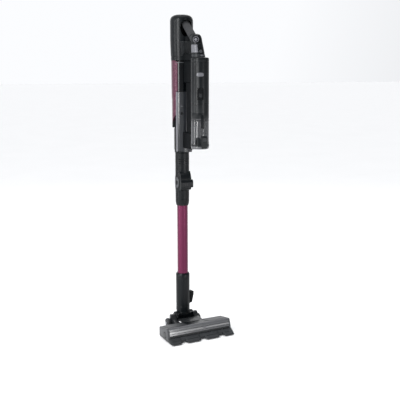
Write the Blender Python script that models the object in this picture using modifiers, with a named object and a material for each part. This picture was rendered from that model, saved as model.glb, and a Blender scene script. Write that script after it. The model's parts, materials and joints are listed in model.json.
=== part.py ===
"""Cordless stick vacuum: floor nozzle, neck joint, wand tube and handheld unit with its dust cup.

Metres, +Z up. The nozzle faces -Y and stands on the plane Z = 0. The stick stands on a vertical axis
at Y = STICK_Y, and "forward" is the distance from that axis towards -Y.
"""

import math

import bmesh
import bpy
from mathutils import Matrix, Vector

# ---- driving dimensions ----
STICK_Y = 0.070            # stick axis, which centres the object over the origin
TOTAL_HEIGHT = 1.130
GAP = 0.0004               # clearance between separate pieces
NOZZLE_HALF_WIDTH = 0.125
END_CAP_THICKNESS = 0.007
NOZZLE_REAR = 0.0660       # forward of the nozzle's rear wall
NOZZLE_MIDDLE = (0.1080, 0.0100)  # forward, z that the nozzle's walls are thickened towards
CORNER_CENTRE = (0.1335, 0.0437)  # forward, z of the round edge between the deck and the window
CORNER_RADIUS = 0.0065
DECK_SLOPE, FRONT_SLOPE = 101.3, 17.3    # directions that the deck and the window face, in degrees
WINDOW_FOOT = (0.1482, 0.0185)
SHELL = 0.0025             # usual wall of a moulded cover
BRUSH_AXIS = (0.118, 0.0220)     # forward, z
BRUSH_RADIUS = 0.0205
BRUSH_CORE_RADIUS = 0.0140
BRUSH_HALF_LENGTH = 0.103
PULLEY_RADIUS = 0.0085
MOTOR_AXIS = (0.0805, 0.0255)
PIVOT_AXIS = (0.006, 0.038)      # forward, z of the tilting neck
WHEEL_AXIS = (0.000, 0.017)
WHEEL_RADIUS = 0.017
ROLLER_X, ROLLER_FORWARD, ROLLER_RADIUS = 0.037, 0.158, 0.005
SLEEVE_RADIUS = 0.0255
SLEEVE_BOTTOM, SLEEVE_TOP = 0.0600, 0.2050
TUBE_RADIUS = 0.01975
TUBE_BOTTOM, TUBE_TOP = 0.1000, 0.5994
ADAPTER_RADIUS = 0.0250
ADAPTER_BOTTOM, ADAPTER_TOP = 0.4600, 0.6520
COLUMN_BOTTOM, COLUMN_TOP = 0.6525, 0.9750
COLUMN_RADIUS = 0.0360
CHASSIS_RADIUS = 0.0270
BATTERY_BOTTOM, BATTERY_TOP = 0.7420, 0.8270
CANISTER_FORWARD = 0.145
CANISTER_RADIUS = 0.0302
CUP_BOTTOM, CUP_TOP = 0.6900, 0.7795
CUP_FOOT_RADIUS = 0.0310
CANISTER_TOP = 0.983
PORT_Z, PORT_RADIUS = 0.7120, 0.0095     # air inlet from the column to the dust cup
BRIDGE_HALF_WIDTH, DUCT_HALF_WIDTH = 0.0095, 0.0125
SHELF_HALF_WIDTH, SHELF_TOP = 0.0140, 0.9960
GRIP_RADIUS = 0.0130
GRIP_START = (0.010, 1.1160)     # forward, z of the grip's axis inside the head
ELBOW = (0.114, 1.0340)          # forward, z where the grip meets the neck
PANEL_HALF_ANGLE = 60            # degrees that the column's front panel spans on each side
ROUND = 32                 # segments of a large round piece

PARTS = "cordless_stick_vacuum"
CUTTERS = "cutters"


# ---- building blocks ----
def clear_scene():
    for item in list(bpy.data.objects):
        bpy.data.objects.remove(item, do_unlink=True)


def collection(name):
    if name not in bpy.data.collections:
        bpy.context.scene.collection.children.link(bpy.data.collections.new(name))
    return bpy.data.collections[name]


def material(name, colour, roughness, metallic=0.0):
    if name in bpy.data.materials:
        return bpy.data.materials[name]
    made = bpy.data.materials.new(name)
    made.use_nodes = True
    shader = made.node_tree.nodes["Principled BSDF"]
    shader.inputs["Base Color"].default_value = (*colour, 1.0)
    shader.inputs["Roughness"].default_value = roughness
    shader.inputs["Metallic"].default_value = metallic
    return made


def black():
    return material("black_plastic", (0.020, 0.023, 0.025), 0.38)


def grey():
    return material("grey_plastic", (0.10, 0.10, 0.11), 0.45)


def magenta():
    return material("magenta_metal", (0.22, 0.035, 0.10), 0.30, 0.7)


def smoked():
    return material("smoked_plastic", (0.07, 0.07, 0.08), 0.12)


def steel():
    return material("steel", (0.55, 0.55, 0.56), 0.30, 1.0)


def rubber():
    return material("rubber", (0.015, 0.015, 0.016), 0.80)


def lilac():
    return material("lilac_trim", (0.26, 0.27, 0.31), 0.35)


def bristle():
    return material("bristle", (0.03, 0.03, 0.035), 0.90)


def filter_cloth():
    return material("filter_cloth", (0.55, 0.55, 0.52), 0.95)


def at(x, forward, z):
    return Vector((x, STICK_Y - forward, z))


def place(name, mesh, finish, origin=(0.0, 0.0, 0.0)):
    """Link a mesh given in world coordinates as an object whose origin is at the given point."""
    shift = Vector(origin)
    mesh.transform(Matrix.Translation(-shift))
    mesh.name = name
    mesh.materials.clear()
    mesh.materials.append(finish)
    mesh.shade_smooth()
    mesh.set_sharp_from_angle(angle=math.radians(35))
    made = bpy.data.objects.new(name, mesh)
    made.location = shift
    collection(PARTS).objects.link(made)
    return made


def mesh_from(bm, name="work"):
    bmesh.ops.recalc_face_normals(bm, faces=bm.faces)
    mesh = bpy.data.meshes.new(name)
    bm.to_mesh(mesh)
    bm.free()
    return mesh


def loft(sections):
    """A closed body through rings of equally many points, with a flat face at both ends."""
    bm = bmesh.new()
    rings = [[bm.verts.new(point) for point in section] for section in sections]
    for low, high in zip(rings, rings[1:]):
        for i in range(len(low)):
            j = (i + 1) % len(low)
            bm.faces.new((low[i], low[j], high[j], high[i]))
    bm.faces.new(rings[0])
    bm.faces.new(rings[-1])
    return mesh_from(bm)


def cylinder(start, end, radius, end_radius=None, segments=ROUND):
    """A round bar or cone from one point to another."""
    start, end = Vector(start), Vector(end)
    run = end - start
    bm = bmesh.new()
    bmesh.ops.create_cone(bm, cap_ends=True, segments=segments, radius1=radius,
                          radius2=radius if end_radius is None else end_radius, depth=run.length)
    turn = run.to_track_quat("Z", "Y").to_matrix().to_4x4()
    bmesh.ops.transform(bm, matrix=Matrix.Translation((start + end) / 2) @ turn, verts=bm.verts)
    return mesh_from(bm)


def box(low, high, bevel=0.0):
    """A block between two corners, with its edges rounded by bevel."""
    low, high = Vector(low), Vector(high)
    bm = bmesh.new()
    bmesh.ops.create_cube(bm, size=1.0)
    size = Matrix.Diagonal((*[abs(v) for v in (high - low)], 1.0))
    bmesh.ops.transform(bm, matrix=Matrix.Translation((low + high) / 2) @ size, verts=bm.verts)
    if bevel:
        bmesh.ops.bevel(bm, geom=bm.edges[:], offset=bevel, segments=2, affect="EDGES", profile=0.5)
    return mesh_from(bm)


def block(half_width, forward, z, bevel=0.0, centre_x=0.0):
    """A block that spans the ranges forward and z, centred sideways on centre_x."""
    return box(at(centre_x - half_width, forward[1], z[0]), at(centre_x + half_width, forward[0], z[1]),
               bevel)


def plate(outline, thickness, matrix):
    """A flat outline with a thickness, from a filled 2D curve, set in place by a matrix."""
    curve = bpy.data.curves.new("outline", "CURVE")
    curve.dimensions = "2D"
    curve.fill_mode = "BOTH"
    curve.extrude = thickness / 2
    spline = curve.splines.new("POLY")
    spline.points.add(len(outline) - 1)
    for point, (u, v) in zip(spline.points, outline):
        point.co = (u, v, 0.0, 1.0)
    spline.use_cyclic_u = True
    guide = bpy.data.objects.new("outline", curve)
    bpy.context.scene.collection.objects.link(guide)
    bpy.context.view_layer.update()
    mesh = bpy.data.meshes.new_from_object(guide.evaluated_get(bpy.context.evaluated_depsgraph_get()))
    bpy.data.objects.remove(guide, do_unlink=True)
    bm = bmesh.new()
    bm.from_mesh(mesh)
    bpy.data.meshes.remove(mesh)
    bmesh.ops.remove_doubles(bm, verts=bm.verts, dist=0.00001)
    bmesh.ops.transform(bm, matrix=matrix, verts=bm.verts)
    return mesh_from(bm)


def side_plate(outline, x_low, x_high):
    """A plate whose outline is (forward, z), between two values of x."""
    turn = Matrix(((0, 0, -1, (x_low + x_high) / 2), (-1, 0, 0, STICK_Y), (0, 1, 0, 0), (0, 0, 0, 1)))
    return plate(outline, x_high - x_low, turn)


def front_plate(outline, forward_low, forward_high):
    """A plate whose outline is (x, z), between two distances forward."""
    middle = STICK_Y - (forward_low + forward_high) / 2
    turn = Matrix(((1, 0, 0, 0), (0, 0, -1, middle), (0, 1, 0, 0), (0, 0, 0, 1)))
    return plate(outline, forward_high - forward_low, turn)


def turned(profile, forward=0.0, segments=ROUND):
    """A turned body about a vertical axis. The (radius, z) profile runs down its outer side."""
    closed = profile[0][0] > 0
    bm = bmesh.new()
    points = [bm.verts.new((radius, 0, z)) for radius, z in profile]
    for a, b in zip(points, points[1:]):
        bm.edges.new((a, b))
    if closed:
        bm.edges.new((points[-1], points[0]))
    line = bpy.data.meshes.new("profile")
    bm.to_mesh(line)
    bm.free()
    guide = bpy.data.objects.new("profile", line)
    bpy.context.scene.collection.objects.link(guide)
    screw = guide.modifiers.new("turn", "SCREW")
    screw.steps = screw.render_steps = segments
    screw.use_merge_vertices = True
    screw.merge_threshold = 0.00001
    bpy.context.view_layer.update()
    mesh = bpy.data.meshes.new_from_object(guide.evaluated_get(bpy.context.evaluated_depsgraph_get()))
    bpy.data.objects.remove(guide, do_unlink=True)
    mesh.transform(Matrix.Translation(at(0, forward, 0)))
    bm = bmesh.new()
    bm.from_mesh(mesh)
    bpy.data.meshes.remove(mesh)
    bmesh.ops.remove_doubles(bm, verts=bm.verts, dist=0.00001)
    return mesh_from(bm)


def ring(outer, inner, low, high, forward=0.0, segments=ROUND):
    """A plain round tube about a vertical axis."""
    return turned([(outer, high), (outer, low), (inner, low), (inner, high)], forward, segments)


def lying(mesh, forward, z):
    """Turn a body made about the vertical axis through the origin, so that it lies along X."""
    mesh.transform(Matrix.Translation((0, -STICK_Y, 0)))
    mesh.transform(Matrix.Rotation(math.radians(90), 4, "Y"))
    mesh.transform(Matrix.Translation(at(0, forward, z)))
    return mesh


def arc(centre, radius, start, end, steps):
    """Points on a circle, angles in degrees from the first axis towards the second."""
    angles = [math.radians(start + (end - start) * i / steps) for i in range(steps + 1)]
    return [(centre[0] + radius * math.cos(a), centre[1] + radius * math.sin(a)) for a in angles]


def sector(rings, start, end, steps, forward=0.0, lip=None):
    """A curved panel about a vertical axis, through rings of (z, inner radius, outer radius, forward shift).

    Angles are in degrees from straight ahead, positive towards +X. With a lip, both side edges turn
    in to that radius.
    """
    sections = []
    for z, inner, outer, shift in rings:
        out = arc((0, 0), outer, start, end, steps)
        back = arc((0, 0), inner, end, start, steps)
        if lip:
            edge = math.degrees(SHELL / inner)
            out = out + arc((0, 0), lip, end, end - edge, 1)
            back = arc((0, 0), inner, end - edge, start + edge, steps) + arc((0, 0), lip, start + edge, start, 1)
        sections.append([at(side, forward + shift + ahead, z) for ahead, side in out + back])
    return loft(sections)


def boolean(target, tool, operation, finish=None):
    """Cut or join two bodies with an exact Boolean, and give back the result."""
    first = bpy.data.objects.new("first", target)
    second = bpy.data.objects.new("second", tool)
    for item in (first, second):
        bpy.context.scene.collection.objects.link(item)
    change = first.modifiers.new("change", "BOOLEAN")
    change.operation = operation
    change.solver = "EXACT"
    change.object = second
    bpy.context.view_layer.update()
    mesh = bpy.data.meshes.new_from_object(first.evaluated_get(bpy.context.evaluated_depsgraph_get()))
    for item in (first, second):
        bpy.data.objects.remove(item, do_unlink=True)
    bpy.data.meshes.remove(target)
    bpy.data.meshes.remove(tool)
    return mesh


def join(*bodies):
    whole = bodies[0]
    for body in bodies[1:]:
        whole = boolean(whole, body, "UNION")
    return whole


def cut(target, *tools):
    for tool in tools:
        target = boolean(target, tool, "DIFFERENCE")
    return target


# ---- floor nozzle ----
def deck():
    """The nozzle's top from its rear edge forward, rising to the round front edge."""
    return [(NOZZLE_REAR, 0.0330), (NOZZLE_REAR + 0.0015, 0.0362), (NOZZLE_REAR + 0.0050, 0.0378),
            (0.1000, 0.0436)]


def front(start):
    """The round front edge from the given direction, and the steep face down to the window's foot."""
    return arc(CORNER_CENTRE, CORNER_RADIUS, start, FRONT_SLOPE, 6) + [(0.1446, 0.0320), WINDOW_FOOT]


def shell_outline(outer, thickness, middle=NOZZLE_MIDDLE):
    """A thin closed outline: the given line and its copy moved in towards a middle point."""
    inner = []
    for forward, z in reversed(outer):
        run = math.hypot(forward - middle[0], z - middle[1])
        keep = 1 - thickness / run
        inner.append((middle[0] + (forward - middle[0]) * keep, middle[1] + (z - middle[1]) * keep))
    return list(outer) + inner


def nozzle():
    inside = NOZZLE_HALF_WIDTH - END_CAP_THICKNESS - GAP
    sole = block(inside, (NOZZLE_REAR + 0.0010, 0.1420), (0.0030, 0.0080))
    sole = cut(sole, block(0.108, (0.0955, 0.1405), (0.0, 0.012)))
    place("sole_plate", sole, black())
    seam = (CORNER_CENTRE[0] - 0.0022, CORNER_CENTRE[1] + 0.0062)
    line = [(NOZZLE_REAR, 0.0090)] + deck() + [seam]
    cover = side_plate(shell_outline(line, SHELL), -inside, inside)
    cover = cut(cover, block(0.0365, (0.0600, 0.0760), (0.0, 0.052)))
    place("nozzle_cover", cover, black())
    window = side_plate(shell_outline(front(DECK_SLOPE - 1), SHELL), -inside, inside)
    place("brush_window", window, smoked())
    cap = [(NOZZLE_REAR, 0.0060)] + deck() + front(DECK_SLOPE) + [(0.1482, 0.0050), (0.1450, 0.0030),
                                                                 (0.0690, 0.0030)]
    for name, side in (("left_end_cap", -1), ("right_end_cap", 1)):
        edges = sorted((side * (NOZZLE_HALF_WIDTH - END_CAP_THICKNESS), side * NOZZLE_HALF_WIDTH))
        place(name, side_plate(cap, *edges), grey())
    bumper()
    chamber = shell_outline(arc(BRUSH_AXIS, 0.0228, 178, 130, 5), 0.0015, BRUSH_AXIS)
    place("brush_chamber_wall", side_plate(chamber, -0.1040, 0.1080), black())


def bumper():
    """The nose under the window, which ends in four lobes and hides a roller behind two of them."""
    nose = [(0.1488, 0.0040), (0.1488, 0.0170), (0.1510, 0.0180), (0.1620, 0.0140), (0.1755, 0.0085),
            (0.1800, 0.0060), (0.1790, 0.0040)]
    whole = side_plate(nose, -NOZZLE_HALF_WIDTH + 0.001, NOZZLE_HALF_WIDTH - 0.001)
    for notch in (-0.074, 0.0, 0.074):
        whole = cut(whole, block(0.0085, (0.1640, 0.1900), (0.0, 0.02), centre_x=notch))
    for side in (-1, 1):
        whole = cut(whole, block(0.0085, (0.1518, 0.1642), (0.0, 0.0106), centre_x=side * ROLLER_X))
    place("front_bumper", whole, black())


def brush():
    forward, z = BRUSH_AXIS
    roll = join(cylinder(at(-BRUSH_HALF_LENGTH, forward, z), at(BRUSH_HALF_LENGTH, forward, z),
                         BRUSH_CORE_RADIUS, segments=20),
                cylinder(at(-0.1110, forward, z), at(-0.1000, forward, z), PULLEY_RADIUS, segments=24))
    rows, steps, twist = 4, 8, 150
    for row in range(rows):
        sections = []
        for step in range(steps + 1):
            x = BRUSH_HALF_LENGTH * 0.97 * (2 * step / steps - 1)
            middle = math.radians(360 * row / rows + twist * abs(step / steps - 0.5))
            section = []
            for radius, side in ((0.0120, -1), (0.0120, 1), (BRUSH_RADIUS, 1), (BRUSH_RADIUS, -1)):
                angle = middle + side * 0.0016 / radius
                section.append(at(x, forward + radius * math.cos(angle), z + radius * math.sin(angle)))
            sections.append(section)
        roll = join(roll, loft(sections))
    place("brush_roll", roll, bristle(), at(0, forward, z))
    motor_forward, motor_z = MOTOR_AXIS
    motor = cylinder(at(-0.0950, motor_forward, motor_z), at(-0.0450, motor_forward, motor_z), 0.0100,
                     segments=20)
    place("brush_motor", motor, steel())
    small = join(cylinder(at(-0.1110, motor_forward, motor_z), at(-0.1040, motor_forward, motor_z), 0.0048,
                          segments=16),
                 cylinder(at(-0.1060, motor_forward, motor_z), at(-0.0955, motor_forward, motor_z), 0.0015,
                          segments=10))
    place("motor_pulley", small, steel(), at(0, motor_forward, motor_z))
    belt()


def belt():
    """A toothed belt around the motor pulley and the brush pulley."""
    small, large, thick = 0.0048 + GAP, PULLEY_RADIUS + GAP, 0.0012
    run = Vector((BRUSH_AXIS[0] - MOTOR_AXIS[0], BRUSH_AXIS[1] - MOTOR_AXIS[1]))
    lean = math.degrees(math.atan2(run.y, run.x))
    open_angle = math.degrees(math.acos((large - small) / run.length))
    loops = []
    for extra in (thick, 0.0):
        front = arc(BRUSH_AXIS, large + extra, lean + 180 - open_angle, lean - (180 - open_angle), 10)
        back = arc(MOTOR_AXIS, small + extra, lean - (180 - open_angle), lean - (180 + open_angle), 8)
        loops.append(front + back)
    outer = side_plate(loops[0], -0.1105, -0.1050)
    inner = side_plate(loops[1], -0.1200, -0.0950)
    place("drive_belt", cut(outer, inner), rubber())


def carriage():
    """The rear frame that carries the wheels and the neck's pivot."""
    arm = [(-0.0090, 0.0170), (-0.0060, 0.0300), (-0.0055, 0.0420), (0.0000, 0.0485), (0.0060, 0.0500),
           (0.0120, 0.0485), (0.0175, 0.0420), (0.0250, 0.0350), (0.0450, 0.0320), (0.0655, 0.0320),
           (0.0655, 0.0100), (0.0100, 0.0070), (-0.0040, 0.0080)]
    frame = join(side_plate(arm, -0.0530, -0.0370), side_plate(arm, 0.0370, 0.0530),
                 block(0.0450, (0.0300, 0.0655), (0.0085, 0.0130)))
    forward, z = PIVOT_AXIS
    frame = cut(frame, cylinder(at(-0.0600, forward, z), at(0.0600, forward, z), 0.0040 + GAP, segments=20))
    forward, z = WHEEL_AXIS
    frame = cut(frame, cylinder(at(-0.0600, forward, z), at(0.0600, forward, z), 0.0025 + GAP, segments=16))
    place("rear_carriage", frame, black())
    shroud = [(0.0290, 0.0335), (0.0300, 0.0362), (0.0450, 0.0385), (0.0755, 0.0385), (0.0755, 0.0360),
              (0.0460, 0.0360), (0.0310, 0.0335)]
    place("pivot_shroud", side_plate(shroud, -0.0360, 0.0360), black())
    duct = cylinder(at(0, 0.0260, 0.0225), at(0, 0.0920, 0.0265), 0.0085, segments=20)
    duct = cut(duct, cylinder(at(0, 0.0200, 0.0221), at(0, 0.0980, 0.0269), 0.0070, segments=20))
    place("suction_duct", duct, rubber())


def wheels():
    forward, z = WHEEL_AXIS
    for name, side in (("left_wheel", -1), ("right_wheel", 1)):
        wheel = turned([(0.0130, 0.0065), (0.0160, 0.0060), (WHEEL_RADIUS, 0.0040), (WHEEL_RADIUS, -0.0040),
                        (0.0160, -0.0060), (0.0130, -0.0065), (0.0029, -0.0065), (0.0029, 0.0065)],
                       segments=32)
        wheel = lying(wheel, forward, z)
        wheel.transform(Matrix.Translation((side * 0.0615, 0, 0)))
        place(name, wheel, rubber(), at(side * 0.0615, forward, z))
        axle = join(cylinder(at(side * 0.0400, forward, z), at(side * 0.0685, forward, z), 0.0025,
                             segments=16),
                    cylinder(at(side * 0.0684, forward, z), at(side * 0.0705, forward, z), 0.0060,
                             segments=16))
        place(name + "_axle", axle, steel())
    for name, side in (("left_sole_roller", -1), ("right_sole_roller", 1)):
        centre = at(side * ROLLER_X, ROLLER_FORWARD, ROLLER_RADIUS)
        along = Vector((0.0070, 0, 0))
        place(name, cylinder(centre - along, centre + along, ROLLER_RADIUS, segments=20), rubber(), centre)


# ---- neck joint ----
def neck():
    forward, z = PIVOT_AXIS
    drum = cylinder(at(-0.0364, forward, z), at(0.0364, forward, z), 0.0195, segments=28)
    yoke = join(drum, cylinder(at(0, 0, z), at(0, 0, SLEEVE_BOTTOM - GAP), 0.0245, segments=28),
                cylinder(at(0, 0, z), at(0, 0, 0.0850), 0.0196, segments=28))
    yoke = cut(yoke, cylinder(at(0, 0, 0.0340), at(0, 0, 0.1000), 0.0155, segments=24),
               block(0.0110, (0.0060, 0.0300), (0.0300, 0.0460)),
               cylinder(at(-0.0500, forward, z), at(-0.0260, forward, z), 0.0040 + GAP, segments=20),
               cylinder(at(0.0260, forward, z), at(0.0500, forward, z), 0.0040 + GAP, segments=20))
    place("neck_yoke", yoke, black(), at(0, forward, z))
    for name, side in (("left_pivot_pin", -1), ("right_pivot_pin", 1)):
        pin = join(cylinder(at(side * 0.0280, forward, z), at(side * 0.0535, forward, z), 0.0040, segments=20),
                   cylinder(at(side * 0.0534, forward, z), at(side * 0.0552, forward, z), 0.0070, segments=20))
        place(name, pin, grey())


def lower_sleeve():
    bore = TUBE_RADIUS + GAP
    body = turned([(0.0220, SLEEVE_TOP), (SLEEVE_RADIUS, SLEEVE_TOP - 0.0050),
                   (SLEEVE_RADIUS, SLEEVE_BOTTOM), (bore, SLEEVE_BOTTOM), (bore, SLEEVE_TOP)])
    for side in (-1, 1):
        body = join(body, block(0.0045, (side * 0.0106 - 0.0013, side * 0.0106 + 0.0013),
                                (0.0870, 0.0970), centre_x=0.0280))
    pivot = (0.0288, 0.0920)
    body = cut(body, cylinder(at(pivot[0], -0.0200, pivot[1]), at(pivot[0], 0.0200, pivot[1]), 0.0015 + GAP,
                              segments=12))
    place("lower_sleeve", body, black(), at(0, 0, SLEEVE_BOTTOM))
    wedge = [(0.0263, 0.0890), (0.0280, 0.0840), (0.0330, 0.0840), (0.0355, 0.0900), (0.0415, 0.1190),
             (0.0412, 0.1270), (0.0360, 0.1300), (0.0312, 0.1280)]
    lever = cut(front_plate(wedge, -0.0088, 0.0088),
                cylinder(at(pivot[0], -0.0200, pivot[1]), at(pivot[0], 0.0200, pivot[1]), 0.0015 + GAP,
                         segments=12))
    place("lower_release_lever", lever, black(), at(pivot[0], 0, pivot[1]))
    place("lower_lever_pin", cylinder(at(pivot[0], -0.0119, pivot[1]), at(pivot[0], 0.0119, pivot[1]), 0.0015,
                                      segments=12), steel())


# ---- wand ----
def wand():
    place("wand_tube", ring(TUBE_RADIUS, TUBE_RADIUS - 0.0012, TUBE_BOTTOM, TUBE_TOP), magenta())
    bore, socket = TUBE_RADIUS + GAP, 0.0210
    ledge = TUBE_TOP + GAP
    body = turned([(ADAPTER_RADIUS, ADAPTER_TOP), (ADAPTER_RADIUS, ADAPTER_BOTTOM + 0.0080),
                   (0.0225, ADAPTER_BOTTOM), (bore, ADAPTER_BOTTOM), (bore, ledge), (0.0160, ledge),
                   (0.0160, ledge + 0.0030), (socket, ledge + 0.0030), (socket, ADAPTER_TOP)])
    saddle = side_plate([(0.0220, 0.5220), (0.0330, 0.5260), (0.0330, 0.5640), (0.0220, 0.5840)],
                        -0.0210, 0.0210)
    saddle = cut(saddle, cylinder(at(0, 0, 0.5000), at(0, 0, 0.6000), bore + 0.001))
    place("upper_adapter", join(body, saddle), black())
    grip = side_plate([(0.0334, 0.5290), (0.0430, 0.5300), (0.0430, 0.5480), (0.0395, 0.5560),
                       (0.0334, 0.5580)], -0.0240, 0.0240)
    place("handheld_release_pedal", grip, black(), at(0, 0.0382, 0.5430))


# ---- handheld: column behind ----
def column_radius(z):
    """The column is straight beside the battery and swells slowly from there up to the head."""
    return COLUMN_RADIUS + 0.0012 * max(0.0, z - BATTERY_TOP) / (COLUMN_TOP - BATTERY_TOP)


def column():
    spigot, wall = 0.0206, 0.0024
    inner = CHASSIS_RADIUS - wall
    chassis = turned([(CHASSIS_RADIUS, COLUMN_TOP - GAP), (CHASSIS_RADIUS, COLUMN_BOTTOM),
                      (spigot, COLUMN_BOTTOM), (spigot, 0.6100), (0.0175, 0.6100),
                      (0.0175, 0.7000), (inner, 0.7000), (inner, COLUMN_TOP - 0.0030), (0.0080, COLUMN_TOP - 0.0030),
                      (0.0080, COLUMN_TOP - GAP)])
    chassis = cut(chassis, block(0.0400, (-0.0400, -0.0010), (BATTERY_BOTTOM, BATTERY_TOP + 0.0010)),
                  cylinder(at(0, 0.0100, PORT_Z), at(0, 0.0400, PORT_Z), PORT_RADIUS, segments=20))
    place("column_chassis", chassis, black())
    panel = sector([(0.6520, COLUMN_RADIUS - SHELL, COLUMN_RADIUS, 0), (0.9720, COLUMN_RADIUS - SHELL,
                                                                         COLUMN_RADIUS, 0)],
                   -PANEL_HALF_ANGLE, PANEL_HALF_ANGLE, 12, lip=CHASSIS_RADIUS + GAP)
    panel = cut(panel, cylinder(at(0, 0.0100, PORT_Z), at(0, 0.0500, PORT_Z), PORT_RADIUS, segments=20))
    place("front_panel", panel, smoked())
    rings = [(z, column_radius(z) - SHELL, column_radius(z), 0) for z in (BATTERY_BOTTOM, COLUMN_TOP)]
    cover = cut(sector(rings, PANEL_HALF_ANGLE + 1, 359 - PANEL_HALF_ANGLE, 24),
                block(0.0500, (-0.0500, -0.0010), (0.7000, BATTERY_TOP + 0.0010)))
    place("rear_cover", cover, magenta())
    battery()
    board = block(0.0200, (-0.0010, 0.0010), (0.8400, 0.9500))
    place("control_board", board, material("circuit_board", (0.02, 0.10, 0.05), 0.5))


def battery():
    radius = COLUMN_RADIUS - 0.0010
    outline = [(side, ahead) for ahead, side in arc((0, 0), radius, 93, 267, 18)]
    sections = [[at(side, ahead, z) for side, ahead in outline]
                for z in (BATTERY_BOTTOM + GAP, BATTERY_TOP)]
    pocket = block(0.0085, (-0.0400, -0.0310), (0.8045, 0.8225))
    place("battery_pack", cut(loft(sections), pocket), magenta(), at(0, -0.0200, 0.7840))
    place("battery_latch", block(0.0080, (-0.0372, -0.0314), (0.8050, 0.8185)), black(),
          at(0, -0.0343, 0.8110))


def head():
    wall, corner = 0.0026, 0.0200
    outer = [(0.0, TOTAL_HEIGHT)] + [(0.0200 + 0.0200 * math.sin(a), TOTAL_HEIGHT - corner + corner * math.cos(a))
                                     for a in [math.radians(15 * i) for i in range(7)]]
    outer += [(0.0400, 1.0450), (0.0376, COLUMN_TOP + GAP)]
    inner = [(r - wall if r > wall else 0.0, z - wall) for r, z in outer[:-1]]
    inner.append((0.0376 - wall, COLUMN_TOP + GAP))
    profile = outer + list(reversed(inner))
    cap = turned_cup(profile)
    axis_start, axis_end = at(0, *GRIP_START), at(0, *ELBOW)
    cap = cut(cap, cylinder(axis_start, axis_end, 0.0175, segments=24),
              sector([(0.9900, 0.030, 0.050, 0), (1.0390, 0.030, 0.050, 0)], -30, 30, 6))
    place("head_shell", cap, black())
    grille = sector([(0.9904, 0.0368, 0.0390, 0), (1.0386, 0.0378, 0.0396, 0)], -29.4, 29.4, 8)
    place("exhaust_grille", grille, grey())
    place("exhaust_filter", ring(0.0330, 0.0240, 0.9860, 1.0400), filter_cloth())


def turned_cup(profile):
    """A turned shell that is closed over the axis at its top: both ends of the profile touch the axis."""
    bm = bmesh.new()
    points = [bm.verts.new((radius, 0, z)) for radius, z in profile]
    for a, b in zip(points, points[1:]):
        bm.edges.new((a, b))
    bmesh.ops.spin(bm, geom=bm.verts[:] + bm.edges[:], angle=math.radians(360), steps=ROUND, use_merge=True,
                   axis=(0, 0, 1), cent=(0, 0, 0))
    bmesh.ops.remove_doubles(bm, verts=bm.verts, dist=0.00001)
    bmesh.ops.translate(bm, vec=at(0, 0, 0), verts=bm.verts)
    return mesh_from(bm)


# ---- handheld: grip and neck ----
def grip_and_neck():
    start, end = at(0, *GRIP_START), at(0, *ELBOW)
    run = (end - start).normalized()
    bar = cylinder(start + run * 0.0040, end - run * 0.0080, GRIP_RADIUS, segments=24)
    place("grip", bar, rubber())
    stations = [(1.0600, 0.1170, 0.0100), (1.0565, 0.1175, 0.0140), (1.0480, 0.1185, 0.0168),
                (1.0350, 0.1200, 0.0185), (1.0150, 0.1250, 0.0203), (CANISTER_TOP + GAP, 0.1340, 0.0226)]
    sections = [[at(side, forward + ahead, z) for ahead, side in arc((0, 0), radius, 0, 345, 23)]
                for z, forward, radius in stations]
    housing = cut(loft(sections), cylinder(start, end - run * 0.0070, GRIP_RADIUS + GAP, segments=24))
    housing = cut(housing, cylinder(at(0, 0.1385, 1.0215), at(0, 0.1685, 1.0275), 0.0074, segments=20),
                  cylinder(at(0, 0.1455, 1.0010), at(0, 0.1755, 1.0070), 0.0054, segments=20))
    place("neck_housing", housing, black())
    trim = sector([(CANISTER_TOP + 0.0190, 0.0218, 0.0228, 0.1287), (1.0150, 0.0208, 0.0218, 0.1250),
                   (1.0250, 0.0199, 0.0209, 0.1225)], -115, -25, 8)
    place("neck_trim", trim, lilac())
    facing = Vector((math.sin(math.radians(-32)), -math.cos(math.radians(-32)), 0.16)).normalized()
    centre = at(0, 0.1195, 1.0380)
    boss = cylinder(centre + facing * 0.0200, centre + facing * 0.0218, 0.0100, segments=24)
    place("elbow_cap", boss, lilac())
    up = Vector((0, -0.030, 0.0060)).normalized()
    for name, forward, z, radius, length in (("power_button", 0.1385, 1.0215, 0.0070, 0.0040),
                                             ("mode_button", 0.1455, 1.0010, 0.0050, 0.0050)):
        base = at(0, forward, z) + up * 0.0025
        place(name, cylinder(base, base + up * length, radius, segments=20), lilac(), base)


# ---- handheld: canister in front ----
def canister():
    top, radius, inner = CANISTER_TOP, CANISTER_RADIUS, CANISTER_RADIUS - SHELL
    sleeve = turned([(0.0080, top), (radius - 0.0040, top), (radius, top - 0.0050), (radius, 0.7820),
                     (inner, 0.7820), (inner, top - 0.0060), (0.0080, top - 0.0030)], CANISTER_FORWARD)
    tongue = sector([(0.7500, 0.0308, 0.0322, 0), (0.7560, 0.0308, 0.0326, 0), (0.7840, 0.0308, 0.0326, 0),
                     (0.7850, 0.0290, 0.0326, 0), (0.7960, 0.0290, 0.0326, 0)], -20, -3, 3, CANISTER_FORWARD)
    sleeve = join(sleeve, tongue)
    button_angle = math.radians(-25)
    out = Vector((math.sin(button_angle), -math.cos(button_angle), 0))
    centre = at(0, CANISTER_FORWARD, 0.8635)
    turn = Matrix.Rotation(button_angle, 4, "Z")
    window = box((-0.0092, -0.0340, -0.0172), (0.0092, -0.0250, 0.0172))
    window.transform(Matrix.Translation(centre) @ turn)
    sleeve = cut(sleeve, window)
    place("canister_sleeve", sleeve, black())
    button = box((-0.0088, -0.0316, -0.0168), (0.0088, -0.0294, 0.0168))
    button.transform(Matrix.Translation(centre) @ turn)
    place("cup_release_button", button, black(), centre + out * 0.0305)


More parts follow.
